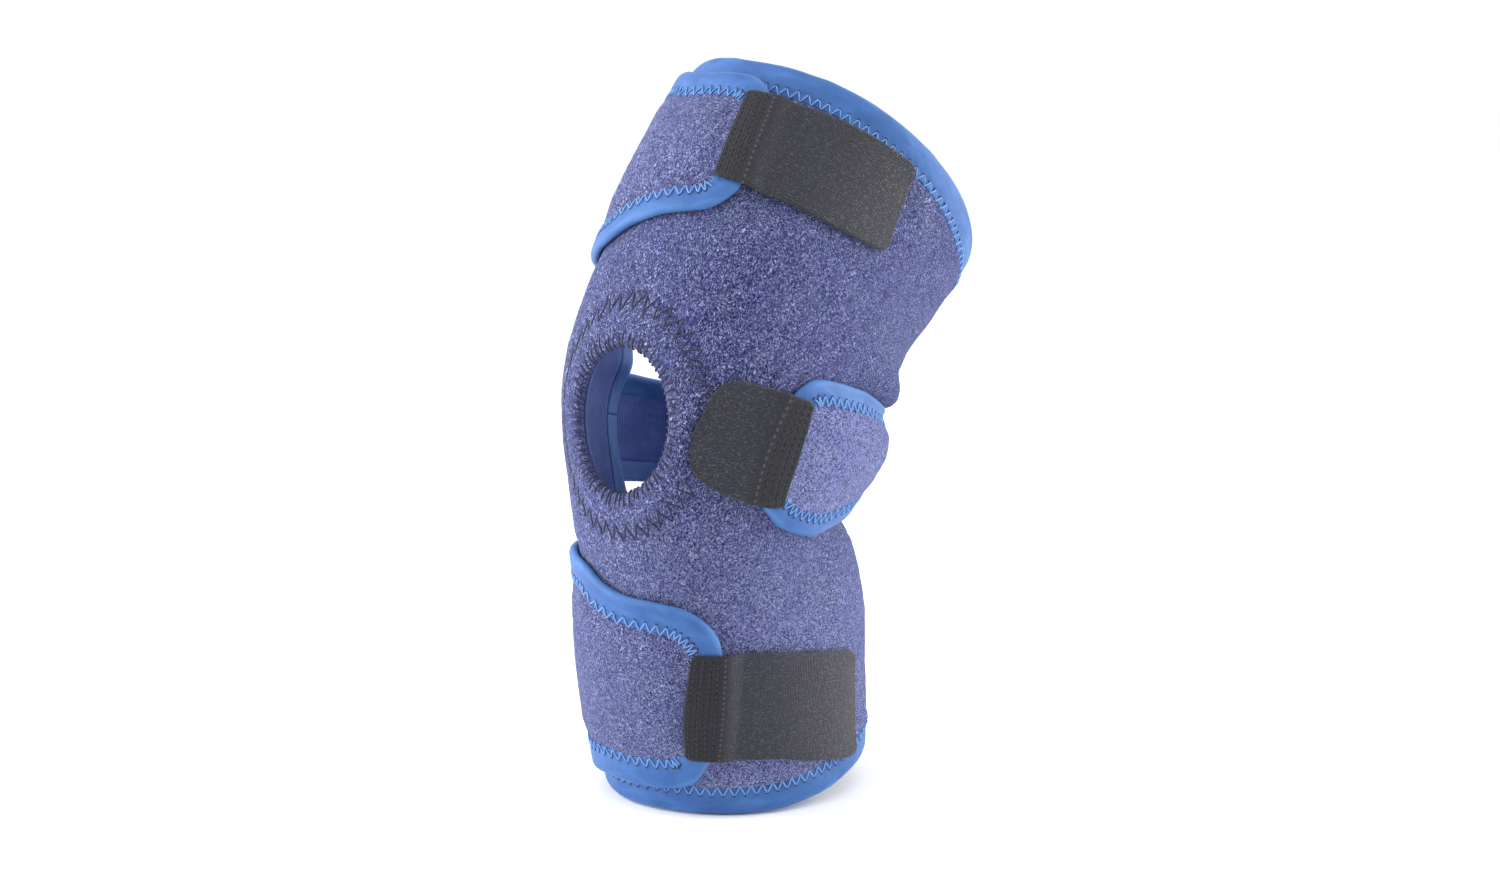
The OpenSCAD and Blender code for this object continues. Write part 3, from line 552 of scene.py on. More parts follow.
class Nodes:
    def __init__(self, name):
        self.mat = bpy.data.materials.new(name)
        self.mat.use_nodes = True
        self.t = self.mat.node_tree
        self.bsdf = next(n for n in self.t.nodes if n.type == "BSDF_PRINCIPLED")

    def new(self, kind, **values):
        n = self.t.nodes.new(kind)
        for k, v in values.items():
            setattr(n, k, v)
        return n

    def link(self, a, b):
        self.t.links.new(a, b)

    def cloth(self):
        return self.new("ShaderNodeAttribute", attribute_name="cloth").outputs["Vector"]

    def scaled(self, vector, x, y, z):
        n = self.new("ShaderNodeMapping")
        n.inputs["Scale"].default_value = (x, y, z)
        self.link(vector, n.inputs["Vector"])
        return n.outputs["Vector"]

    def noise(self, vector, scale, detail=2.0, rough=0.5, distortion=0.0):
        n = self.new("ShaderNodeTexNoise")
        n.inputs["Scale"].default_value = scale
        n.inputs["Detail"].default_value = detail
        n.inputs["Roughness"].default_value = rough
        n.inputs["Distortion"].default_value = distortion
        self.link(vector, n.inputs["Vector"])
        return n.outputs["Fac"]

    def ramp(self, value, stops, mode="LINEAR"):
        n = self.new("ShaderNodeValToRGB")
        n.color_ramp.interpolation = mode
        while len(n.color_ramp.elements) < len(stops):
            n.color_ramp.elements.new(0.5)
        for e, (p, c) in zip(n.color_ramp.elements, stops):
            e.position, e.color = p, c if hasattr(c, "__len__") else (c, c, c, 1)
        self.link(value, n.inputs["Fac"])
        return n.outputs["Color"]

    def math(self, op, a, b=None, clamp=False):
        n = self.new("ShaderNodeMath", operation=op, use_clamp=clamp)
        for i, v in enumerate((a, b)):
            if v is None:
                continue
            if isinstance(v, (int, float)):
                n.inputs[i].default_value = v
            else:
                self.link(v, n.inputs[i])
        return n.outputs[0]

    def mix(self, fac, a, b, blend="MIX"):
        n = self.new("ShaderNodeMix", data_type="RGBA", blend_type=blend)
        if isinstance(fac, (int, float)):
            n.inputs["Factor"].default_value = fac
        else:
            self.link(fac, n.inputs["Factor"])
        for key, v in (("A", a), ("B", b)):
            socket = next(i for i in n.inputs if i.name == key and i.type == "RGBA")
            if isinstance(v, tuple):
                socket.default_value = v
            else:
                self.link(v, socket)
        return next(o for o in n.outputs if o.type == "RGBA")

    def bump(self, height, distance, strength=1.0, normal=None):
        n = self.new("ShaderNodeBump")
        n.inputs["Distance"].default_value = distance
        n.inputs["Strength"].default_value = strength
        self.link(height, n.inputs["Height"])
        if normal is not None:
            self.link(normal, n.inputs["Normal"])
        return n.outputs["Normal"]

    def finish(self, color=None, rough=None, normal=None, **fixed):
        b = self.bsdf
        if color is not None:
            self.link(color, b.inputs["Base Color"])
        if rough is not None:
            self.link(rough, b.inputs["Roughness"])
        if normal is not None:
            self.link(normal, b.inputs["Normal"])
        for k, v in fixed.items():
            b.inputs[k.replace("_", " ")].default_value = v
        return self.mat


def plush_material(name="plush_nap", lift=0.02):
    m = Nodes(name)
    v = m.cloth()
    curl = m.noise(m.scaled(v, 1.0, 0.85, 1.0), 0.8, 3.0, 0.66, 2.6)
    worm = m.noise(m.scaled(v, 1.3, 0.8, 1.0), 0.62, 1.0, 0.5, 4.2)
    fine = m.noise(v, 1.9, 2.0, 0.6, 1.4)
    h = m.math("ADD", m.math("MULTIPLY", curl, 0.42), m.math("ADD", m.math("MULTIPLY", worm, 0.33), m.math("MULTIPLY", fine, 0.25)))
    h = m.math("MULTIPLY", m.math("SUBTRACT", h, 0.403), 5.6, clamp=True)
    along = m.new("ShaderNodeSeparateXYZ")
    m.link(v, along.inputs["Vector"])
    # painted light: the main plush is lightened towards the calf end (below s = -22 mm), standing in for side light
    # falling on the calf
    calf = m.math("MULTIPLY", m.math("DIVIDE", m.math("SUBTRACT", -22.0, along.outputs["Y"]), 60.0, clamp=True), 0.16 if lift < 0.05 else 0.0)
    # painted light: lift lightens the whole colour ramp; the wing and strap copies use more of it to stand in for their
    # brighter side-lit sheen
    shade = m.math("ADD", m.math("ADD", h, lift), calf)
    base = m.ramp(shade, [(0.0, lin(12, 13, 48)), (0.26, lin(29, 30, 78)), (0.5, lin(52, 55, 108)), (0.74, lin(90, 95, 154)), (1.0, lin(176, 184, 232))])
    patch = m.noise(v, 0.06, 3.0, 0.55, 0.4)
    tint = m.ramp(patch, [(0.3, lin(238, 232, 255)), (0.5, lin(248, 248, 255)), (0.72, lin(255, 255, 252))])
    col = m.mix(1.0, base, tint, "MULTIPLY")
    brushed = m.noise(m.scaled(v, 1.0, 0.5, 1.0), 0.3, 2.0, 0.6, 0.8)
    col = m.mix(m.math("MULTIPLY", m.math("SUBTRACT", brushed, 0.52, clamp=True), 0.5), col, lin(140, 143, 190))
    n = m.bump(h, 0.0011, 0.85)
    rough = m.math("ADD", m.math("MULTIPLY", h, -0.08), 0.97)
    return m.finish(col, rough, n, Sheen_Weight=0.6, Sheen_Roughness=0.4, Sheen_Tint=lin(168, 180, 226), Specular_IOR_Level=0.1)


def tape_material():
    m = Nodes("satin_jersey_tape")
    v = m.cloth()
    rib = m.new("ShaderNodeTexWave", wave_type="BANDS", bands_direction="X")
    rib.inputs["Scale"].default_value = 0.55
    rib.inputs["Distortion"].default_value = 0.6
    rib.inputs["Detail"].default_value = 1.0
    m.link(v, rib.inputs["Vector"])
    knit = m.noise(m.scaled(v, 1.0, 2.2, 1.0), 1.7, 2.0, 0.5, 0.3)
    soft = m.noise(m.scaled(v, 0.5, 1.0, 1.0), 0.16, 2.0, 0.5, 0.5)
    col = m.ramp(soft, [(0.25, lin(34, 74, 136)), (0.5, lin(43, 86, 149)), (0.75, lin(56, 101, 165))])
    col = m.mix(m.math("MULTIPLY", knit, 0.16), col, lin(104, 150, 208))
    sep = m.new("ShaderNodeSeparateXYZ")
    m.link(v, sep.inputs["Vector"])
    fold = m.math("SUBTRACT", 1.0, m.math("DIVIDE", sep.outputs["Y"], 2.6), clamp=True)
    col = m.mix(m.math("MULTIPLY", fold, 0.2), col, lin(112, 160, 216))
    height = m.math("ADD", m.math("MULTIPLY", rib.outputs["Fac"], 0.35), m.math("MULTIPLY", knit, 0.65))
    n = m.bump(height, 0.00016, 0.5, m.bump(soft, 0.0012, 0.5))
    rough = m.math("ADD", m.math("MULTIPLY", knit, 0.18), 0.46)
    return m.finish(col, rough, n, Sheen_Weight=0.1, Sheen_Roughness=0.35, Sheen_Tint=lin(150, 195, 240), Specular_IOR_Level=0.32)


def webbing_material():
    m = Nodes("tab_webbing")
    v = m.cloth()
    warp = m.new("ShaderNodeTexWave", wave_type="BANDS", bands_direction="X")
    weft = m.new("ShaderNodeTexWave", wave_type="BANDS", bands_direction="Y")
    for w, k in ((warp, 0.42), (weft, 0.3)):
        w.inputs["Scale"].default_value = k
        w.inputs["Distortion"].default_value = 0.9
        w.inputs["Detail"].default_value = 1.5
        w.inputs["Detail Scale"].default_value = 1.2
        m.link(v, w.inputs["Vector"])
    weave = m.math("MULTIPLY", m.math("ADD", warp.outputs["Fac"], weft.outputs["Fac"]), 0.5)
    grain = m.noise(m.scaled(v, 0.8, 2.0, 1.0), 1.5, 3.0, 0.65, 0.4)
    sep = m.new("ShaderNodeSeparateXYZ")
    m.link(v, sep.inputs["Vector"])
    free = m.math("DIVIDE", m.math("SUBTRACT", sep.outputs["X"], 1.0), 4.0, clamp=True)
    far = m.math("DIVIDE", m.math("SUBTRACT", sep.outputs["X"], 24.0), 20.0, clamp=True)
    dark = m.ramp(grain, [(0.25, lin(14, 15, 22)), (0.5, lin(26, 27, 36)), (0.75, lin(46, 48, 58))])
    light = m.ramp(grain, [(0.25, lin(24, 25, 33)), (0.52, lin(37, 38, 47)), (0.78, lin(62, 64, 74))])
    col = m.mix(free, dark, light)
    sewn = m.math("MULTIPLY", m.math("SUBTRACT", 0.4, sep.outputs["X"], clamp=True), 1.0, clamp=True)
    # painted shade: a grid of near-black dots over the sewn part stands in for the shade inside the needle holes
    across = m.math("GREATER_THAN", m.math("SINE", m.math("MULTIPLY", sep.outputs["X"], 2.6)), 0.45)
    along = m.math("GREATER_THAN", m.math("SINE", m.math("MULTIPLY", sep.outputs["Y"], 2.9)), 0.1)
    needle = m.math("MULTIPLY", m.math("MULTIPLY", across, along), sewn)
    col = m.mix(m.math("MULTIPLY", needle, 0.75), col, lin(6, 7, 12))
    near = m.math("SUBTRACT", 1.0, m.math("ABSOLUTE", m.math("MULTIPLY", m.math("SUBTRACT", sep.outputs["X"], 0.9), 1.6)), clamp=True)
    col = m.mix(m.math("MULTIPLY", m.math("MULTIPLY", near, along), 0.4), col, lin(104, 104, 108))
    fleck = m.math("GREATER_THAN", m.noise(m.scaled(v, 0.7, 2.6, 1.0), 1.3, 1.0, 0.5, 0.2), 0.63)
    col = m.mix(m.math("MULTIPLY", fleck, m.math("MULTIPLY", free, 0.35)), col, lin(104, 106, 112))
    speck = m.new("ShaderNodeTexVoronoi")
    speck.inputs["Scale"].default_value = 0.85
    m.link(v, speck.inputs["Vector"])
    dot = m.math("LESS_THAN", speck.outputs["Distance"], 0.24)
    col = m.mix(m.math("MULTIPLY", dot, m.math("MULTIPLY", far, 0.45)), col, lin(112, 110, 106))
    height = m.math("ADD", m.math("MULTIPLY", weave, 0.6), m.math("MULTIPLY", grain, 0.4))
    n = m.bump(height, 0.0004, 0.8)
    rough = m.math("ADD", m.math("MULTIPLY", grain, 0.25), 0.55)
    return m.finish(col, rough, n, Sheen_Weight=0.12, Sheen_Roughness=0.5, Specular_IOR_Level=0.3)


def hook_material():
    m = Nodes("hook_tape")
    v = m.cloth()
    cells = m.new("ShaderNodeTexVoronoi")
    cells.inputs["Scale"].default_value = 0.9
    m.link(v, cells.inputs["Vector"])
    col = m.ramp(cells.outputs["Distance"], [(0.0, lin(74, 75, 80)), (0.35, lin(38, 38, 43)), (0.8, lin(20, 20, 24))])
    n = m.bump(m.math("SUBTRACT", 1.0, cells.outputs["Distance"]), 0.0008, 1.0)
    rough = m.math("ADD", m.math("MULTIPLY", cells.outputs["Distance"], 0.3), 0.4)
    return m.finish(col, rough, n, Specular_IOR_Level=0.4)


def thread_material(name, dark, mid, light, rough):
    m = Nodes(name)
    v = m.cloth()
    twist = m.new("ShaderNodeTexWave", wave_type="BANDS", bands_direction="DIAGONAL")
    twist.inputs["Scale"].default_value = 0.55
    twist.inputs["Distortion"].default_value = 0.4
    m.link(v, twist.inputs["Vector"])
    wear = m.noise(v, 0.4, 2.0, 0.5)
    col = m.ramp(twist.outputs["Fac"], [(0.0, dark), (0.5, mid), (1.0, light)])
    col = m.mix(m.math("MULTIPLY", wear, 0.3), col, light)
    r = m.math("ADD", m.math("MULTIPLY", wear, 0.1), rough)
    return m.finish(col, r, m.bump(twist.outputs["Fac"], 0.00012, 0.8), Sheen_Weight=0.15, Specular_IOR_Level=0.35)


def lining_material():
    m = Nodes("jersey_lining")
    v = m.cloth()
    knit = m.new("ShaderNodeTexWave", wave_type="BANDS", bands_direction="X")
    knit.inputs["Scale"].default_value = 0.35
    knit.inputs["Distortion"].default_value = 1.5
    knit.inputs["Detail Scale"].default_value = 1.5
    m.link(v, knit.inputs["Vector"])
    soft = m.noise(v, 0.12, 3.0, 0.5)
    col = m.ramp(soft, [(0.25, lin(50, 66, 124)), (0.5, lin(62, 80, 142)), (0.75, lin(78, 96, 158))])
    col = m.mix(m.math("MULTIPLY", knit.outputs["Fac"], 0.3), col, lin(104, 122, 182))
    rough = m.math("ADD", m.math("MULTIPLY", soft, 0.15), 0.72)
    return m.finish(col, rough, m.bump(knit.outputs["Fac"], 0.00025, 0.6), Sheen_Weight=0.3, Sheen_Roughness=0.4, Specular_IOR_Level=0.2)


# painted light: lighter copies of the plush for the wings (lift 0.1) and the strap (lift 0.26), standing in for the
# sheen they show under the side light
wing_plush_painted_light, strap_plush_painted_light = plush_material("plush_nap_wing_painted_light", 0.1), plush_material("plush_nap_strap_painted_light", 0.26)
plush, tape_mat, webbing, hook_mat, lining = plush_material(), tape_material(), webbing_material(), hook_material(), lining_material()
blue_thread = thread_material("blue_thread", lin(60, 108, 190), lin(98, 152, 222), lin(140, 186, 240), 0.5)
navy_thread = thread_material("navy_thread", lin(18, 20, 44), lin(30, 33, 66), lin(52, 56, 98), 0.6)
black_thread = thread_material("black_thread", lin(14, 14, 18), lin(26, 26, 31), lin(44, 44, 50), 0.6)

# ------------------------------------------------------------ how pieces bend
FRONT_UP = np.array([0, -math.cos(math.radians(43)), math.sin(math.radians(43))])
FRONT_DOWN = np.array([0, -math.cos(math.radians(-7)), math.sin(math.radians(-7))])


def centre(s):
    return P(s, 90.0, 0.0) * [0, 1, 1]


def span(point, direction, before, after):
    """Start and end points of a bend: before and after mm from point."""
    d = np.array(direction, float)
    d /= np.linalg.norm(d)
    p = np.array(point, float)
    return tuple(p + d * before * MM), tuple(p + d * after * MM)


BENDS = {
    "thigh": ("knee", "thigh", tuple(centre(12.0)), tuple(centre(60.0))),
    "calf": ("knee", "calf", tuple(centre(-34.0)), tuple(centre(-80.0))),
    "upper_wing": ("thigh", "upper_wing") + span(P(78.0, -88.0, K1), FRONT_UP, -7, 7),
    "lower_wing": ("calf", "lower_wing") + span(P(-100.0, -66.0, K1), FRONT_DOWN, -6, 8),
    "strap": ("knee", "mid_strap") + span(P(-14.0, 200.0, K1), (1, 0, 0), -6, 8),
}
for key, body in (("upper", "upper_wing"), ("lower", "lower_wing"), ("mid", "mid_strap")):
    t = TABS[key]
    s0, s1 = {"upper": (60, 90), "lower": (-122, -86), "mid": (-26, 2)}[key]
    line = P(s1, curve(t["sewn"], s1), K3) - P(s0, curve(t["sewn"], s0), K3)
    line /= np.linalg.norm(line)
    sm = (s0 + s1) / 2
    e = float(curve(t["sewn"], sm))
    go = P(sm, e + 6 * t["turn"], K3) - P(sm, e, K3)
    go = go - line * (go @ line)
    BENDS[key + "_tab"] = (body, key + "_tab") + span(P(sm, e, K3), go, 0.5, 7)

parts = []


def place(obj, bend, nodes=()):
    if bend in BENDS:
        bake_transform(obj)
    else:
        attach(obj, bend)
    if nodes:
        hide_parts(*nodes)
    parts.append(obj)
    return obj


# ------------------------------------------------------------------ main panel
def panel_angles():
    """Column angles in the plain frame, closer together beside the opening."""
    g = HOLE_A - HOLE_ANGLE * np.cos(np.linspace(0, np.pi, 45))
    left = np.linspace(-48, g[0], 23)[:-1]
    right = np.linspace(g[-1], 48, 23)[1:]
    medial_side = np.concatenate([[-101.0, -100.6, -99.6], np.linspace(-98.0, -48, 42)[:-1]])
    lateral = np.concatenate([np.linspace(48, 177.0, 112)[1:], [178.6, 179.6, 180.0]])
    return np.concatenate([medial_side, left, g, right, lateral])


def panel_grid(up):
    al = panel_angles()
    hole = np.clip((al - HOLE_A) / HOLE_ANGLE, -1, 1)
    rise = HOLE_HALF * np.sqrt(1 - hole ** 2) * (1 if up else -1)
    start = HOLE_S + rise
    rim = curve(TOP_RIM, al) - 1.2 if up else curve(BOTTOM_RIM, al) + 1.2
    near = np.array([0, 0.2, 0.6, 1.2, 2.0, 3.0, 4.2])
    far = np.linspace(0, 1, 96 if up else 112)
    length = np.abs(rim - start)[None]
    rows = np.concatenate([near[:, None] / length, mix(5.4 / length, 1.0, far[:, None])])
    s = mix(start[None], rim[None], rows)
    a = np.broadcast_to(al[None], s.shape).copy()
    for _ in range(1):
        a = np.where(a > 48, mix(48, back_edge(s), (a - 48) / 132), a)
        a = np.where(a < -48, mix(-48, medial(s) + 1.2, (-48 - a) / 53.0), a)
    return s, a


def main_panel(up):
    s, a = panel_grid(up)
    ls, la = frame_at(s, a, 0.0)
    q = rho(s, a)
    d_hole = np.where(q > 1, (q - 1) * 20.0, 0)
    inner_frame = np.abs(a - HOLE_A) < HOLE_ANGLE + 3
    prof = np.where(inner_frame, np.sqrt(np.clip(1 - (1 - np.clip(d_hole / 2.0, 0, 1)) ** 2, 0, 1)), 1.0)
    rim_d = (curve(TOP_RIM, a) - s) if up else (s - curve(BOTTOM_RIM, a))
    rim_w = 14.0 if up else 12.0
    cut = (s < 84) if up else (s > -96)
    side_d = np.minimum((a - medial(s)) * la, np.where(cut, (back_edge(s) - a) * la, 99))
    under = np.maximum(ease((rim_w + 0.4 - rim_d) / 1.4), ease((8.4 - side_d) / 1.4))
    half = PANEL / 2 - 0.78 * under
    top = main_outer(s, a) - PANEL
    top = np.where(under > 0, np.minimum(top, mix(1.0, 0.0, under)) * (1 - under), top)
    outer = PANEL / 2 + half * prof + top * prof
    inner = PANEL / 2 - half * prof
    name = "upper_panel_padded" if up else "lower_panel_padded"
    obj = grid_solid(name, s, a, outer, inner, [plush, lining], flip=not up, sharp_row=True)
    recalc(obj)
    return obj


upper_panel = place(main_panel(True), "thigh", ("knee_panel", "upper_flex_panel", "thigh_panel"))
lower_panel = place(main_panel(False), "calf", ("lower_flex_panel", "calf_panel"))


# rim, free edge and back cut-out, bound with one tape above the knee and one below
def rounded(points, r=6.0):
    """A line through corner points in (s, a), its corners rounded."""
    out = []
    pts = [np.array(p, float) for p in points]
    out.append(pts[0])
    for p, c, n in zip(pts[:-2], pts[1:-1], pts[2:]):
        d0, d1 = p - c, n - c
        l0, l1 = np.linalg.norm(d0), np.linalg.norm(d1)
        k = min(r, l0 / 2, l1 / 2)
        a0, a1 = c + d0 / l0 * k, c + d1 / l1 * k
        for t in np.linspace(0, 1, 7):
            out.append((1 - t) ** 2 * a0 + 2 * t * (1 - t) * c + t * t * a1)
    out.append(pts[-1])
    return np.array(out)


def edge_line(up):
    s = np.linspace(HOLE_S, 106 if up else -139, 60)
    side = np.stack([s, medial(s)], -1)
    a = np.linspace(-89 if up else -72, 180, 150)
    rim = np.stack([curve(TOP_RIM if up else BOTTOM_RIM, a), a], -1)
    corner = np.array([[float(curve(TOP_RIM, -99.5)), -99.5]] if up else [[float(curve(BOTTOM_RIM, -80)), -80]])
    bend = rounded([side[-1], corner[0], rim[0]], 9.0)
    return np.concatenate([side[:-1], bend[:-1], rim])


for up in (True, False):
    line = edge_line(up)
    rim_w, key = (14.0, "thigh") if up else (12.0, "calf")
    word = "top" if up else "bottom"

    def width(s, a, rim_w=rim_w, up=up):
        return mix(8.0, rim_w, ease(((s - 95) if up else (-128 - s)) / 14))

    def covered(s, a):
        return 1 - exposed(s, a, 3.0, tabs=True)

    obj, edge = tape(word + "_rim_tape", line[:, 0], line[:, 1], 0.0, PANEL, width, -1 if up else 1, tape_mat,
                     flat=covered, seed=31 if up else 37)
    place(obj, key, ("top_binding", "medial_edge_binding") if up else ("bottom_binding",))

    def height(s, a, v, rim_w=rim_w, up=up, width=width):
        w = width(s, a)
        return np.where(v < w, PANEL + tape_top(v / w, 0.5), np.maximum(main_outer(s, a), PANEL - 0.1))

    stitch, holes = coverstitch(word + "_rim_thread", edge, height, blue_thread, navy_thread, seed=51,
                                keep=lambda s, a: exposed(s, a, 3.0) > -1)
    place(stitch, key, ("top_binding_thread",) if up else ("bottom_binding_thread",))
    # painted shade: dark beads at the needle holes of the rim tape's coverstitch
    hd = dots(word + "_rim_needle_holes", holes[:, 0], holes[:, 1], holes[:, 2] + 0.04, 0.62 * MM, navy_thread)
    place(hd, key, ())

    s = np.linspace(HOLE_S, 83.5 if up else -95.5, 110)
    obj, edge = tape(word + "_popliteal_tape", s, back_edge(s) - 0.3, 0.0, PANEL, 8.0, 1 if up else -1, tape_mat,
                     flat=covered, seed=41, puff=0.35)
    place(obj, key, ("popliteal_binding",) if up else ())
    stitch, holes = coverstitch(word + "_popliteal_thread", edge, height, blue_thread, navy_thread, seed=52)
    place(stitch, key, ())


# ------------------------------------------------------------- kneecap opening
def ring_angle(n):
    return np.linspace(0, 2 * np.pi, n, endpoint=False)


def at_ring(v, g):
    return HOLE_S + HOLE_HALF * v * np.sin(g), HOLE_A + HOLE_ANGLE * v * np.cos(g)


def pad_ring():
    g = ring_angle(120)
    sec = [(1.05, -0.7), (1.09, -0.42), (1.2, -0.4), (1.34, -0.4), (1.48, -0.4), (1.59, -0.42), (1.63, -0.7), (1.62, -1.1),
           (1.56, -2.0), (1.46, -2.8), (1.34, -3.0), (1.22, -2.8), (1.12, -2.0), (1.06, -1.1)]
    S = np.stack([at_ring(v, g)[0] for v, o in sec], -1)
    A = np.stack([at_ring(v, g)[1] for v, o in sec], -1)
    lump = 0.18 * np.stack([noise(np.cos(g) * 40, np.sin(g) * 40, 9, 61 + k) for k in range(len(sec))], -1)
    O = np.array([o for v, o in sec])[None] + np.where(np.array([o for v, o in sec]) < -1.2, lump, 0)
    pts = P(S, A, O)
    m, n = S.shape
    i = np.arange(m * n).reshape(m, n)
    i = np.concatenate([i, i[:1]], 0)
    i = np.concatenate([i, i[:, :1]], 1)
    obj = new_object("patella_pad_ring", pts.reshape(-1, 3), quads(i, m, n), lining, np.stack([A, S, O], -1).reshape(-1, 3))
    recalc(obj)
    return obj


pad = place(pad_ring(), "knee", ("patella_pad",))

rng = np.random.default_rng(77)
lines = []
n = 68
for k in range(n):
    g = (k + rng.uniform(-0.18, 0.18)) * 2 * np.pi / n
    reach = 1.16 + rng.uniform(-0.03, 0.06)
    slant = rng.uniform(-0.03, 0.03) + 0.02
    v = np.array([reach, reach - 0.05, mix(reach, 1, 0.55), 1.045, 1.012, 1.0, 1.0])
    S, A = at_ring(v, g + slant * np.linspace(0, 1, 7))
    q = np.clip((v - 1) * 20 / 2.0, 0, 1)
    prof = np.sqrt(1 - (1 - q) ** 2)
    h = PANEL / 2 + (PANEL / 2 + main_outer(S, A) - PANEL) * prof
    h = h + np.array([-0.15, 0.12, 0.16, 0.14, 0.1, -0.1, -1.2])
    S2, A2 = at_ring(v + np.array([0, 0, 0, 0, -0.008, -0.014, -0.012]), g + slant * np.linspace(0, 1, 7))
    lines.append(P(S2, A2, h))
place(tubes("patella_whip_stitch", lines, 0.4 * MM, navy_thread), "knee", ("patella_rim_thread",))

lines = []
n = 40
knots = (np.arange(n + 1) + 0.0) * 2 * np.pi / n
for k in range(n):
    g0, g1 = knots[k] + rng.uniform(-0.02, 0.02), knots[k] + 2 * np.pi / n * 0.42
    for ga, gb, va, vb in ((g0, g1, 1.46, 1.76), (g1, knots[k + 1], 1.76, 1.46)):
        va, vb = va + rng.uniform(-0.02, 0.02), vb + rng.uniform(-0.02, 0.02)
        t = np.linspace(0, 1, 9)
        S, A = at_ring(mix(va, vb, t), mix(ga, gb, t))
        if exposed(S, A, 1.0).min() < 0.5:
            continue
        lift = 0.22 * np.sin(np.pi * t) - 0.06
        lines.append(P(S, A, main_outer(S, A) + lift))
place(tubes("patella_ring_stitch", lines, 0.36 * MM, navy_thread), "knee", ("patella_pad_thread",))


# ------------------------------------------------------------ wings and strap
def jog(a, a0, a1):
    return K1 * ease((np.asarray(a, float) - a0) / (a1 - a0))


LAYERS = dict(
    upper=dict(a0=-179.9, end=UPPER_END, top=UPPER_TOP, bottom=UPPER_BOTTOM, base=lambda a: jog(a, -109, -101),
               wt=12.0, wb=10.0, r_top=7.0, r_bottom=3.5, tabs=("upper",), bend="upper_wing", a1=22.0,
               nodes=("upper_wing_base", "upper_wing"), tape=("upper_base_binding", "upper_wing_binding"), thread=("upper_wing_thread",)),
    lower=dict(a0=-179.9, end=LOWER_END, top=LOWER_TOP, bottom=LOWER_BOTTOM, base=lambda a: jog(a, -100, -92),
               wt=12.0, wb=13.0, r_top=9.0, r_bottom=9.0, tabs=("lower",), bend="lower_wing", a1=40.0,
               nodes=("lower_wing_base", "lower_wing"), tape=("lower_base_binding", "lower_wing_binding"), thread=("lower_wing_thread",)),
    strap=dict(a0=282.0, end=STRAP_END, top=STRAP_TOP, bottom=STRAP_BOTTOM, base=lambda a: K1 + 0 * np.asarray(a, float),
               wt=9.5, wb=9.5, r_top=6.0, r_bottom=9.0, tabs=("mid",), bend="strap", a1=62.0,
               nodes=("mid_strap_base", "mid_strap"), tape=("mid_strap_binding",), thread=("mid_strap_thread",)))


def layer_point(L, u, v):
    """(s, a) at u from the layer's root to its end and v from bottom to top."""
    u, v = np.broadcast_arrays(np.asarray(u, float), np.asarray(v, float))
    s = mix(curve(L["bottom"], L["a1"]), curve(L["top"], L["a1"]), v)
    for _ in range(6):
        end = curve(L["end"], s)
        a = mix(L["a0"], end, u)
        x = np.abs(end - a)
        rt, rb = L["r_top"], L["r_bottom"]
        it = np.where(x < rt, rt - np.sqrt(np.maximum(rt ** 2 - (rt - x) ** 2, 0)), 0)
        ib = np.where(x < rb, rb - np.sqrt(np.maximum(rb ** 2 - (rb - x) ** 2, 0)), 0)
        s = mix(curve(L["bottom"], a) + ib, curve(L["top"], a) - it, v)
    return s, a


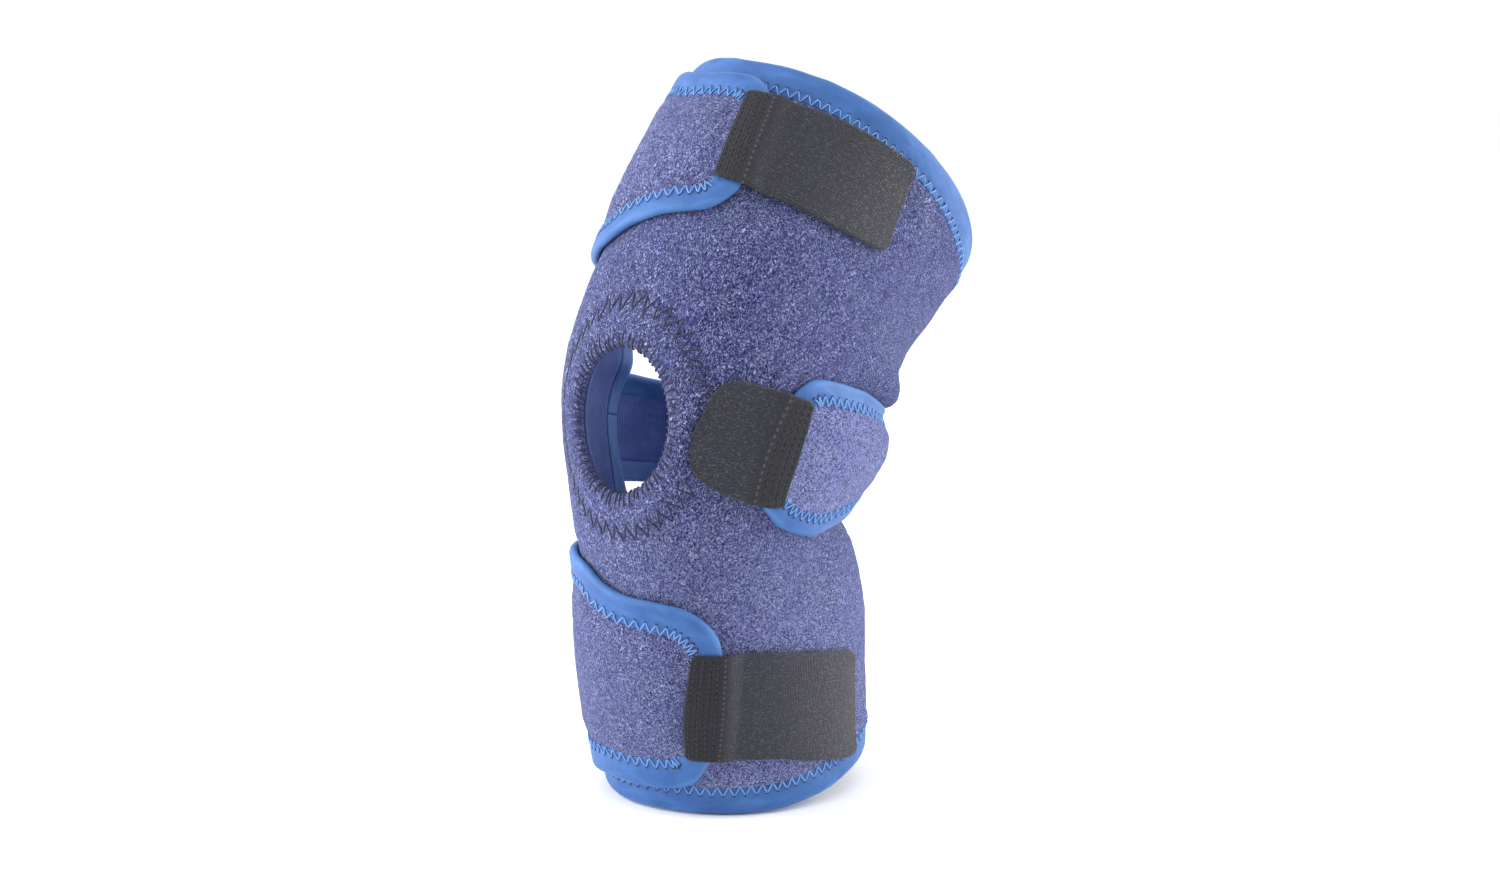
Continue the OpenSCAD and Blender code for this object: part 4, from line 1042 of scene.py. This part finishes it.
def build_layer(key):
    L = LAYERS[key]
    length = abs(float(curve(L["end"], np.mean([curve(L["top"], L["a1"]), curve(L["bottom"], L["a1"])]))) - L["a0"])
    nu = int(length / 1.15)
    u = np.concatenate([np.linspace(0, 1 - 10 / length, nu)[:-1], 1 - 10 / length * (1 - np.sin(np.linspace(0, np.pi / 2, 14)))])
    v = np.concatenate([[0, 0.012, 0.03], np.linspace(0.05, 0.95, 46), [0.97, 0.988, 1.0]])
    S, A = layer_point(L, u[:, None], v[None, :])
    # pull the edge in by 1.2 mm so that it lies inside its tape
    ls, la = frame_at(S, A, K1)
    mid_s = (S[:, :1] + S[:, -1:]) / 2
    S = mid_s + (S - mid_s) * (1 - 1.2 / np.maximum(np.abs(S[:, -1:] - S[:, :1]) / 2, 4))
    turn = -1 if L["a0"] < L["a1"] else 1
    A = A + turn * 1.2 * ease((u[:, None] - (1 - 10 / length)) * length / 10)
    d_s = np.minimum(curve(L["top"], A) - S, S - curve(L["bottom"], A))
    d_t, d_b = curve(L["top"], A) - S, S - curve(L["bottom"], A)
    d_e = np.abs(curve(L["end"], S) - A)
    under = np.maximum.reduce([ease((L["wt"] + 0.4 - d_t) / 1.4), ease((L["wb"] + 0.4 - d_b) / 1.4), ease((9.4 - d_e) / 1.4)])
    dist = np.minimum.reduce([d_t - L["wt"], d_b - L["wb"], d_e - 9]).clip(0)
    half = WING / 2 - 0.8 * under
    base = L["base"](A)
    on = ease((A - L["a0"]) / 16) if turn < 0 else ease((L["a0"] - A) / 8)
    if key == "strap":
        on = on * ease(np.abs(A - 200) / 6 + 0.5)
    top = swell_on(S, A, dist, L["tabs"], 71 if key == "upper" else 81 if key == "lower" else 91) * (1 - under) * on
    outer, inner = base + WING / 2 + half + top, base + WING / 2 - half
    obj = grid_solid(key + ("_wing_padded" if key != "strap" else "_padded"), S, A, outer, inner, [strap_plush_painted_light if key == "strap" else wing_plush_painted_light, lining])
    recalc(obj)
    place(obj, L["bend"], L["nodes"])

    top_u = np.concatenate([np.linspace(0, 1 - 12 / length, 120), 1 - 12 / length * (1 - np.sin(np.linspace(0, np.pi / 2, 24)[1:]))])
    ts, ta = layer_point(L, top_u, 1.0)
    es, ea = layer_point(L, 1.0, np.linspace(1, 0, 30)[1:-1])
    bs, ba = layer_point(L, top_u[::-1], 0.0)
    s, a = np.concatenate([ts, es, bs]), np.concatenate([ta, ea, ba])

    def width(s, a, L=L):
        m = (curve(L["top"], a) + curve(L["bottom"], a)) / 2
        return mix(L["wb"], L["wt"], ease((s - m) / 14 + 0.5))

    def covered(s, a, L=L):
        c = np.zeros_like(s)
        for k in L["tabs"]:
            c = np.maximum(c, 1 - ease((outside_tab(k, s, a) - 1.2) / 4))
        return np.maximum(c, 1 - ease((a - L["a0"]) / 6) if L["a0"] < 0 else 1 - ease((L["a0"] - a) / 6))

    side = -1 if L["a0"] < L["a1"] else 1
    obj, edge = tape(key + "_edge_tape", s, a, L["base"], WING, width, side, tape_mat, flat=covered, seed=101, puff=0.55)
    place(obj, L["bend"], L["tape"])

    def height(s, a, v, L=L, width=width, key=key):
        w = width(s, a)
        sw = swell_on(s, a, (v - w).clip(0), L["tabs"], 71 if key == "upper" else 81 if key == "lower" else 91)
        return L["base"](a) + WING + np.where(v < w, tape_top(v / w, 0.55), np.maximum(sw, -0.1))

    keep = lambda s, a, L=L: outside_tab(L["tabs"][0], s, a) > 0.6
    stitch, holes = coverstitch(key + "_edge_thread", edge, height, blue_thread, navy_thread, from_mm=4, to_mm=float(edge[6][-1]) - 4,
                                seed=111, keep=keep)
    place(stitch, L["bend"], L["thread"])
    # painted shade: dark beads at the needle holes of the edge tape's coverstitch
    hd = dots(key + "_needle_holes", holes[:, 0], holes[:, 1], holes[:, 2] + 0.04, 0.62 * MM, navy_thread)
    place(hd, L["bend"], ())
    return obj


for key in LAYERS:
    build_layer(key)


# seams at the back, where the wings are sewn to the panel, and the strap's root
def seam(name, s0, s1, a0, a1, n, o, bend, node, mat, radius=0.35):
    t = np.linspace(0, 1, n * 6 + 1)
    tri = np.abs(((t * n / 2) % 1) * 2 - 1)
    s, a = mix(s0, s1, t), mix(a0, a1, tri)
    lift = 0.2 * np.abs(np.sin(t * n * np.pi))
    place(tubes(name, [P(s, a, o + lift)], radius * MM, mat), bend, node)


seam("upper_back_seam", 97, 112, 178.6, 181.4, 10, PANEL + 0.15, "thigh", ("upper_seam_thread",), blue_thread)
seam("lower_back_seam", -144, -98, 178.6, 181.4, 28, PANEL + 0.15, "calf", ("lower_seam_thread",), blue_thread)
seam("strap_root_seam", -32, 6, 276, 279.5, 22, K2 + 0.1, "knee", ("mid_strap_base_stitching",), blue_thread)


# ---------------------------------------------------------------- closure tabs
def tab_drop(b):
    return (K3 - K1 - HOOK) * ease((b - 1) / 8)


def tab_grid(t, u, v, inset=0.0, u_from=0.0):
    """(s, a, b): u from the sewn edge's far side to the tip, v from bottom to top,
    b mm past the sewn line."""
    turn = t["turn"]
    s = np.broadcast_to(t["mid"] + 0 * u * v, np.broadcast(u, v).shape).astype(float)
    for _ in range(8):
        left = curve(t["left"], s)
        far = curve(t["right"], s) - turn * inset
        a = mix(left, far, u)
        x, y = np.abs(a - left), np.abs(far - a)
        r, q = 2.6, t["r_tip"]
        i = np.where((x < r) & (u_from == 0), r - np.sqrt(np.maximum(r ** 2 - (r - x) ** 2, 0)), 0) * 0.75
        i = i + np.where(y < q, q - np.sqrt(np.maximum(q ** 2 - (q - y) ** 2, 0)), 0)
        lo, hi = curve(t["bottom"], a) + inset + i, curve(t["top"], a) - inset - i
        s = mix(lo, hi, v)
    return s, a, turn * (a - curve(t["sewn"], s))


for key in TABS:
    t = TABS[key]
    length = abs(t["tip"] - float(curve(t["left"], t["mid"])))
    nu = int(length / 0.9)
    u = np.concatenate([[0, 0.006, 0.014, 0.026, 0.042], np.linspace(0.06, 0.9, nu), 1 - 0.1 * (1 - np.linspace(0, 1, 14)[1:]) ** 1.7])
    v = np.concatenate([[0, 0.012, 0.03], np.linspace(0.05, 0.95, 40), [0.97, 0.988, 1.0]])
    s, a, b = tab_grid(t, u[:, None], v[None, :])
    edge = np.minimum.reduce([v[None, :] * 37 + 0 * u[:, None], (1 - v[None, :]) * 37 + 0 * u[:, None], u[:, None] * length + 0 * v[None, :],
                              (1 - u[:, None]) * length + 0 * v[None, :]])
    prof = np.sqrt(np.clip(1 - (1 - np.clip(edge / 0.5, 0, 1)) ** 2, 0.04, 1))
    rib = np.where(b < 0, 0.15 * np.sin(s * 2 * np.pi / 1.9), 0.03 * np.sin(s * 2 * np.pi / 1.3) * np.sin(a * 2 * np.pi / 1.3))
    wavy = 0.14 * noise(a, s, 11, 131) * ease((b - 4) / 8)
    curl = 0.55 * ease((np.hypot((v[None, :] - 0.5) * 2, u[:, None] * 1.0) - 1.12) / 0.28) * ease((u[:, None] - 0.8) / 0.2)
    down = tab_drop(b)
    groove = np.zeros_like(s)
    for k in (0.14, 0.38, 0.62, 0.86):
        lx = (a - mix(curve(t["left"], s), curve(t["sewn"], s), k))
        groove += -0.16 * np.exp(-(lx / 0.55) ** 2) * (b < 0)
    outer = K3 + TAB / 2 + TAB / 2 * prof - down + rib * prof + wavy + curl + groove * prof
    inner = K3 + TAB / 2 - TAB / 2 * prof - down + wavy.clip(0) + curl
    m, n = s.shape
    obj = grid_solid(key + "_tab_webbing", s, a, outer, inner, [webbing], flip=t["turn"] < 0)
    cloth = np.concatenate([np.stack([b, s, outer], -1).reshape(-1, 3)] * 2)
    obj.data.attributes["cloth"].data.foreach_set("vector", cloth.astype(np.float32).ravel())
    obj.data.polygons.foreach_set("material_index", np.zeros(len(obj.data.polygons), np.int32))
    recalc(obj)
    place(obj, key + "_tab", (key + "_tab_base", key + "_tab_backing"))
    wide = float(curve(t["top"], (t["tip"] + t["left"][1][1]) / 2) - curve(t["bottom"], (t["tip"] + t["left"][1][1]) / 2))

    # hook side under the free part
    first = {"upper": 34.0, "lower": 54.0, "mid": 47.5}[key]
    u0 = abs(first - float(curve(t["left"], t["mid"]))) / length
    hu = np.linspace(u0, 0.985, 40)
    hv = np.linspace(0, 1, 26)
    s, a, b = tab_grid(t, hu[:, None], hv[None, :], inset=2.0, u_from=1.0)
    down = tab_drop(b)
    nub = 0.12 * (np.sin(a * 2 * np.pi / 2.1) * np.sin(s * 2 * np.pi / 2.1)) * np.ones_like(s)
    lift = 0.55 * ease((np.hypot((hv[None, :] - 0.5) * 2, hu[:, None]) - 1.12) / 0.28) * ease((hu[:, None] - 0.8) / 0.2)
    hook = grid_solid(key + "_hook_pad", s, a, K3 - 0.06 - down + lift, K3 - HOOK + 0.14 - down - nub.clip(-1, 0) + lift, [hook_mat], flip=t["turn"] < 0)
    hook.data.polygons.foreach_set("material_index", np.zeros(len(hook.data.polygons), np.int32))
    recalc(hook)
    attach(hook, key + "_tab")
    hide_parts(key + "_tab_hooks")

    # rows of stitches in the sewn part
    s0, s1 = {"upper": (58.5, 91.5), "lower": (-123, -83.5), "mid": (-27.5, 2.5)}[key]
    lines = []
    for k in (0.14, 0.38, 0.62, 0.86):
        q = np.arange(s0, s1, 2.4)
        for s in q:
            ss = s + np.linspace(0, 1.7, 6)
            aa = mix(curve(t["left"], ss), curve(t["sewn"], ss), k)
            lines.append(P(ss, aa, K3 + TAB - 0.2 + 0.2 * np.sin(np.pi * np.linspace(0, 1, 6))))
    st = tubes(key + "_tab_stitches", lines, 0.27 * MM, black_thread)
    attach(st, {"upper": "upper_wing", "lower": "lower_wing", "mid": "mid_strap"}[key])
    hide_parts(key + "_tab_stitching")

# --------------------------------------------------------- camera, light, floor
az, el, dist = math.radians(39), math.radians(9.3), 1.3
back = np.array([math.sin(az) * math.cos(el), -math.cos(az) * math.cos(el), math.sin(el)])
right = np.array([math.cos(az), math.sin(az), 0])
upv = np.cross(back, right)
cam_data = bpy.data.cameras.new("camera")
cam = bpy.data.objects.new("camera", cam_data)
bpy.context.scene.collection.objects.link(cam)
cam_data.sensor_width = 36
cam_data.lens = 78.0
cam_data.shift_x = 0.0185
cam_data.shift_y = -0.0219
cam_data.dof.use_dof = False
from mathutils import Matrix
m = Matrix.Identity(4)
for i in range(3):
    m[i][0], m[i][1], m[i][2], m[i][3] = right[i], upv[i], back[i], back[i] * dist
cam.matrix_world = m
bpy.context.scene.camera = cam

lo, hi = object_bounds()
floor_z = lo[2] - 0.0002
n = 40
x = np.linspace(-4, 4, n)
gx, gy = np.meshgrid(x, x, indexing="ij")
i = np.arange(n * n).reshape(n, n)
floor_nodes = Nodes("paper_floor")
tex = floor_nodes.new("ShaderNodeTexCoord")
grain = floor_nodes.noise(tex.outputs["Object"], 3.0, 4.0, 0.5)
floor_nodes.finish(floor_nodes.ramp(grain, [(0.3, lin(250, 250, 250)), (0.7, lin(252, 252, 252))]), None, None, Roughness=0.9, Specular_IOR_Level=0.1)
floor = new_object("floor", np.stack([gx, gy, np.full_like(gx, floor_z)], -1).reshape(-1, 3), quads(i, n, n)[:, ::-1], floor_nodes.mat)
recalc(floor)
if floor.data.polygons[0].normal.z < 0:
    floor.data.flip_normals()

bpy.context.scene.view_settings.view_transform = "Standard"
world = bpy.data.worlds.new("studio")
bpy.context.scene.world = world
world.use_nodes = True
bg = world.node_tree.nodes["Background"]
bg.inputs["Color"].default_value = (1, 1, 1, 1)
bg.inputs["Strength"].default_value = 1.03


def area(name, position, target, size, watts, color=(1, 1, 1)):
    data = bpy.data.lights.new(name, "AREA")
    data.shape = "RECTANGLE"
    data.size, data.size_y = size
    data.energy = watts
    data.color = color
    obj = bpy.data.objects.new(name, data)
    bpy.context.scene.collection.objects.link(obj)
    from mathutils import Vector
    obj.location = Vector(position)
    obj.rotation_euler = (Vector(target) - Vector(position)).to_track_quat("-Z", "Y").to_euler()
    return obj


def from_camera(x, y, z):
    """A place given as right, up and towards the camera, in metres."""
    return tuple(right * x + upv * y + back * z)


area("softbox_right", from_camera(1.3, 0.25, -0.25), (0, 0, 0.02), (0.8, 1.3), 22)
area("softbox_left", from_camera(-1.25, 0.4, 0.0), (0, 0, 0.02), (0.8, 1.2), 24)
area("softbox_top", from_camera(0.1, 1.4, 0.5), (0, 0, 0), (1.0, 0.8), 4)
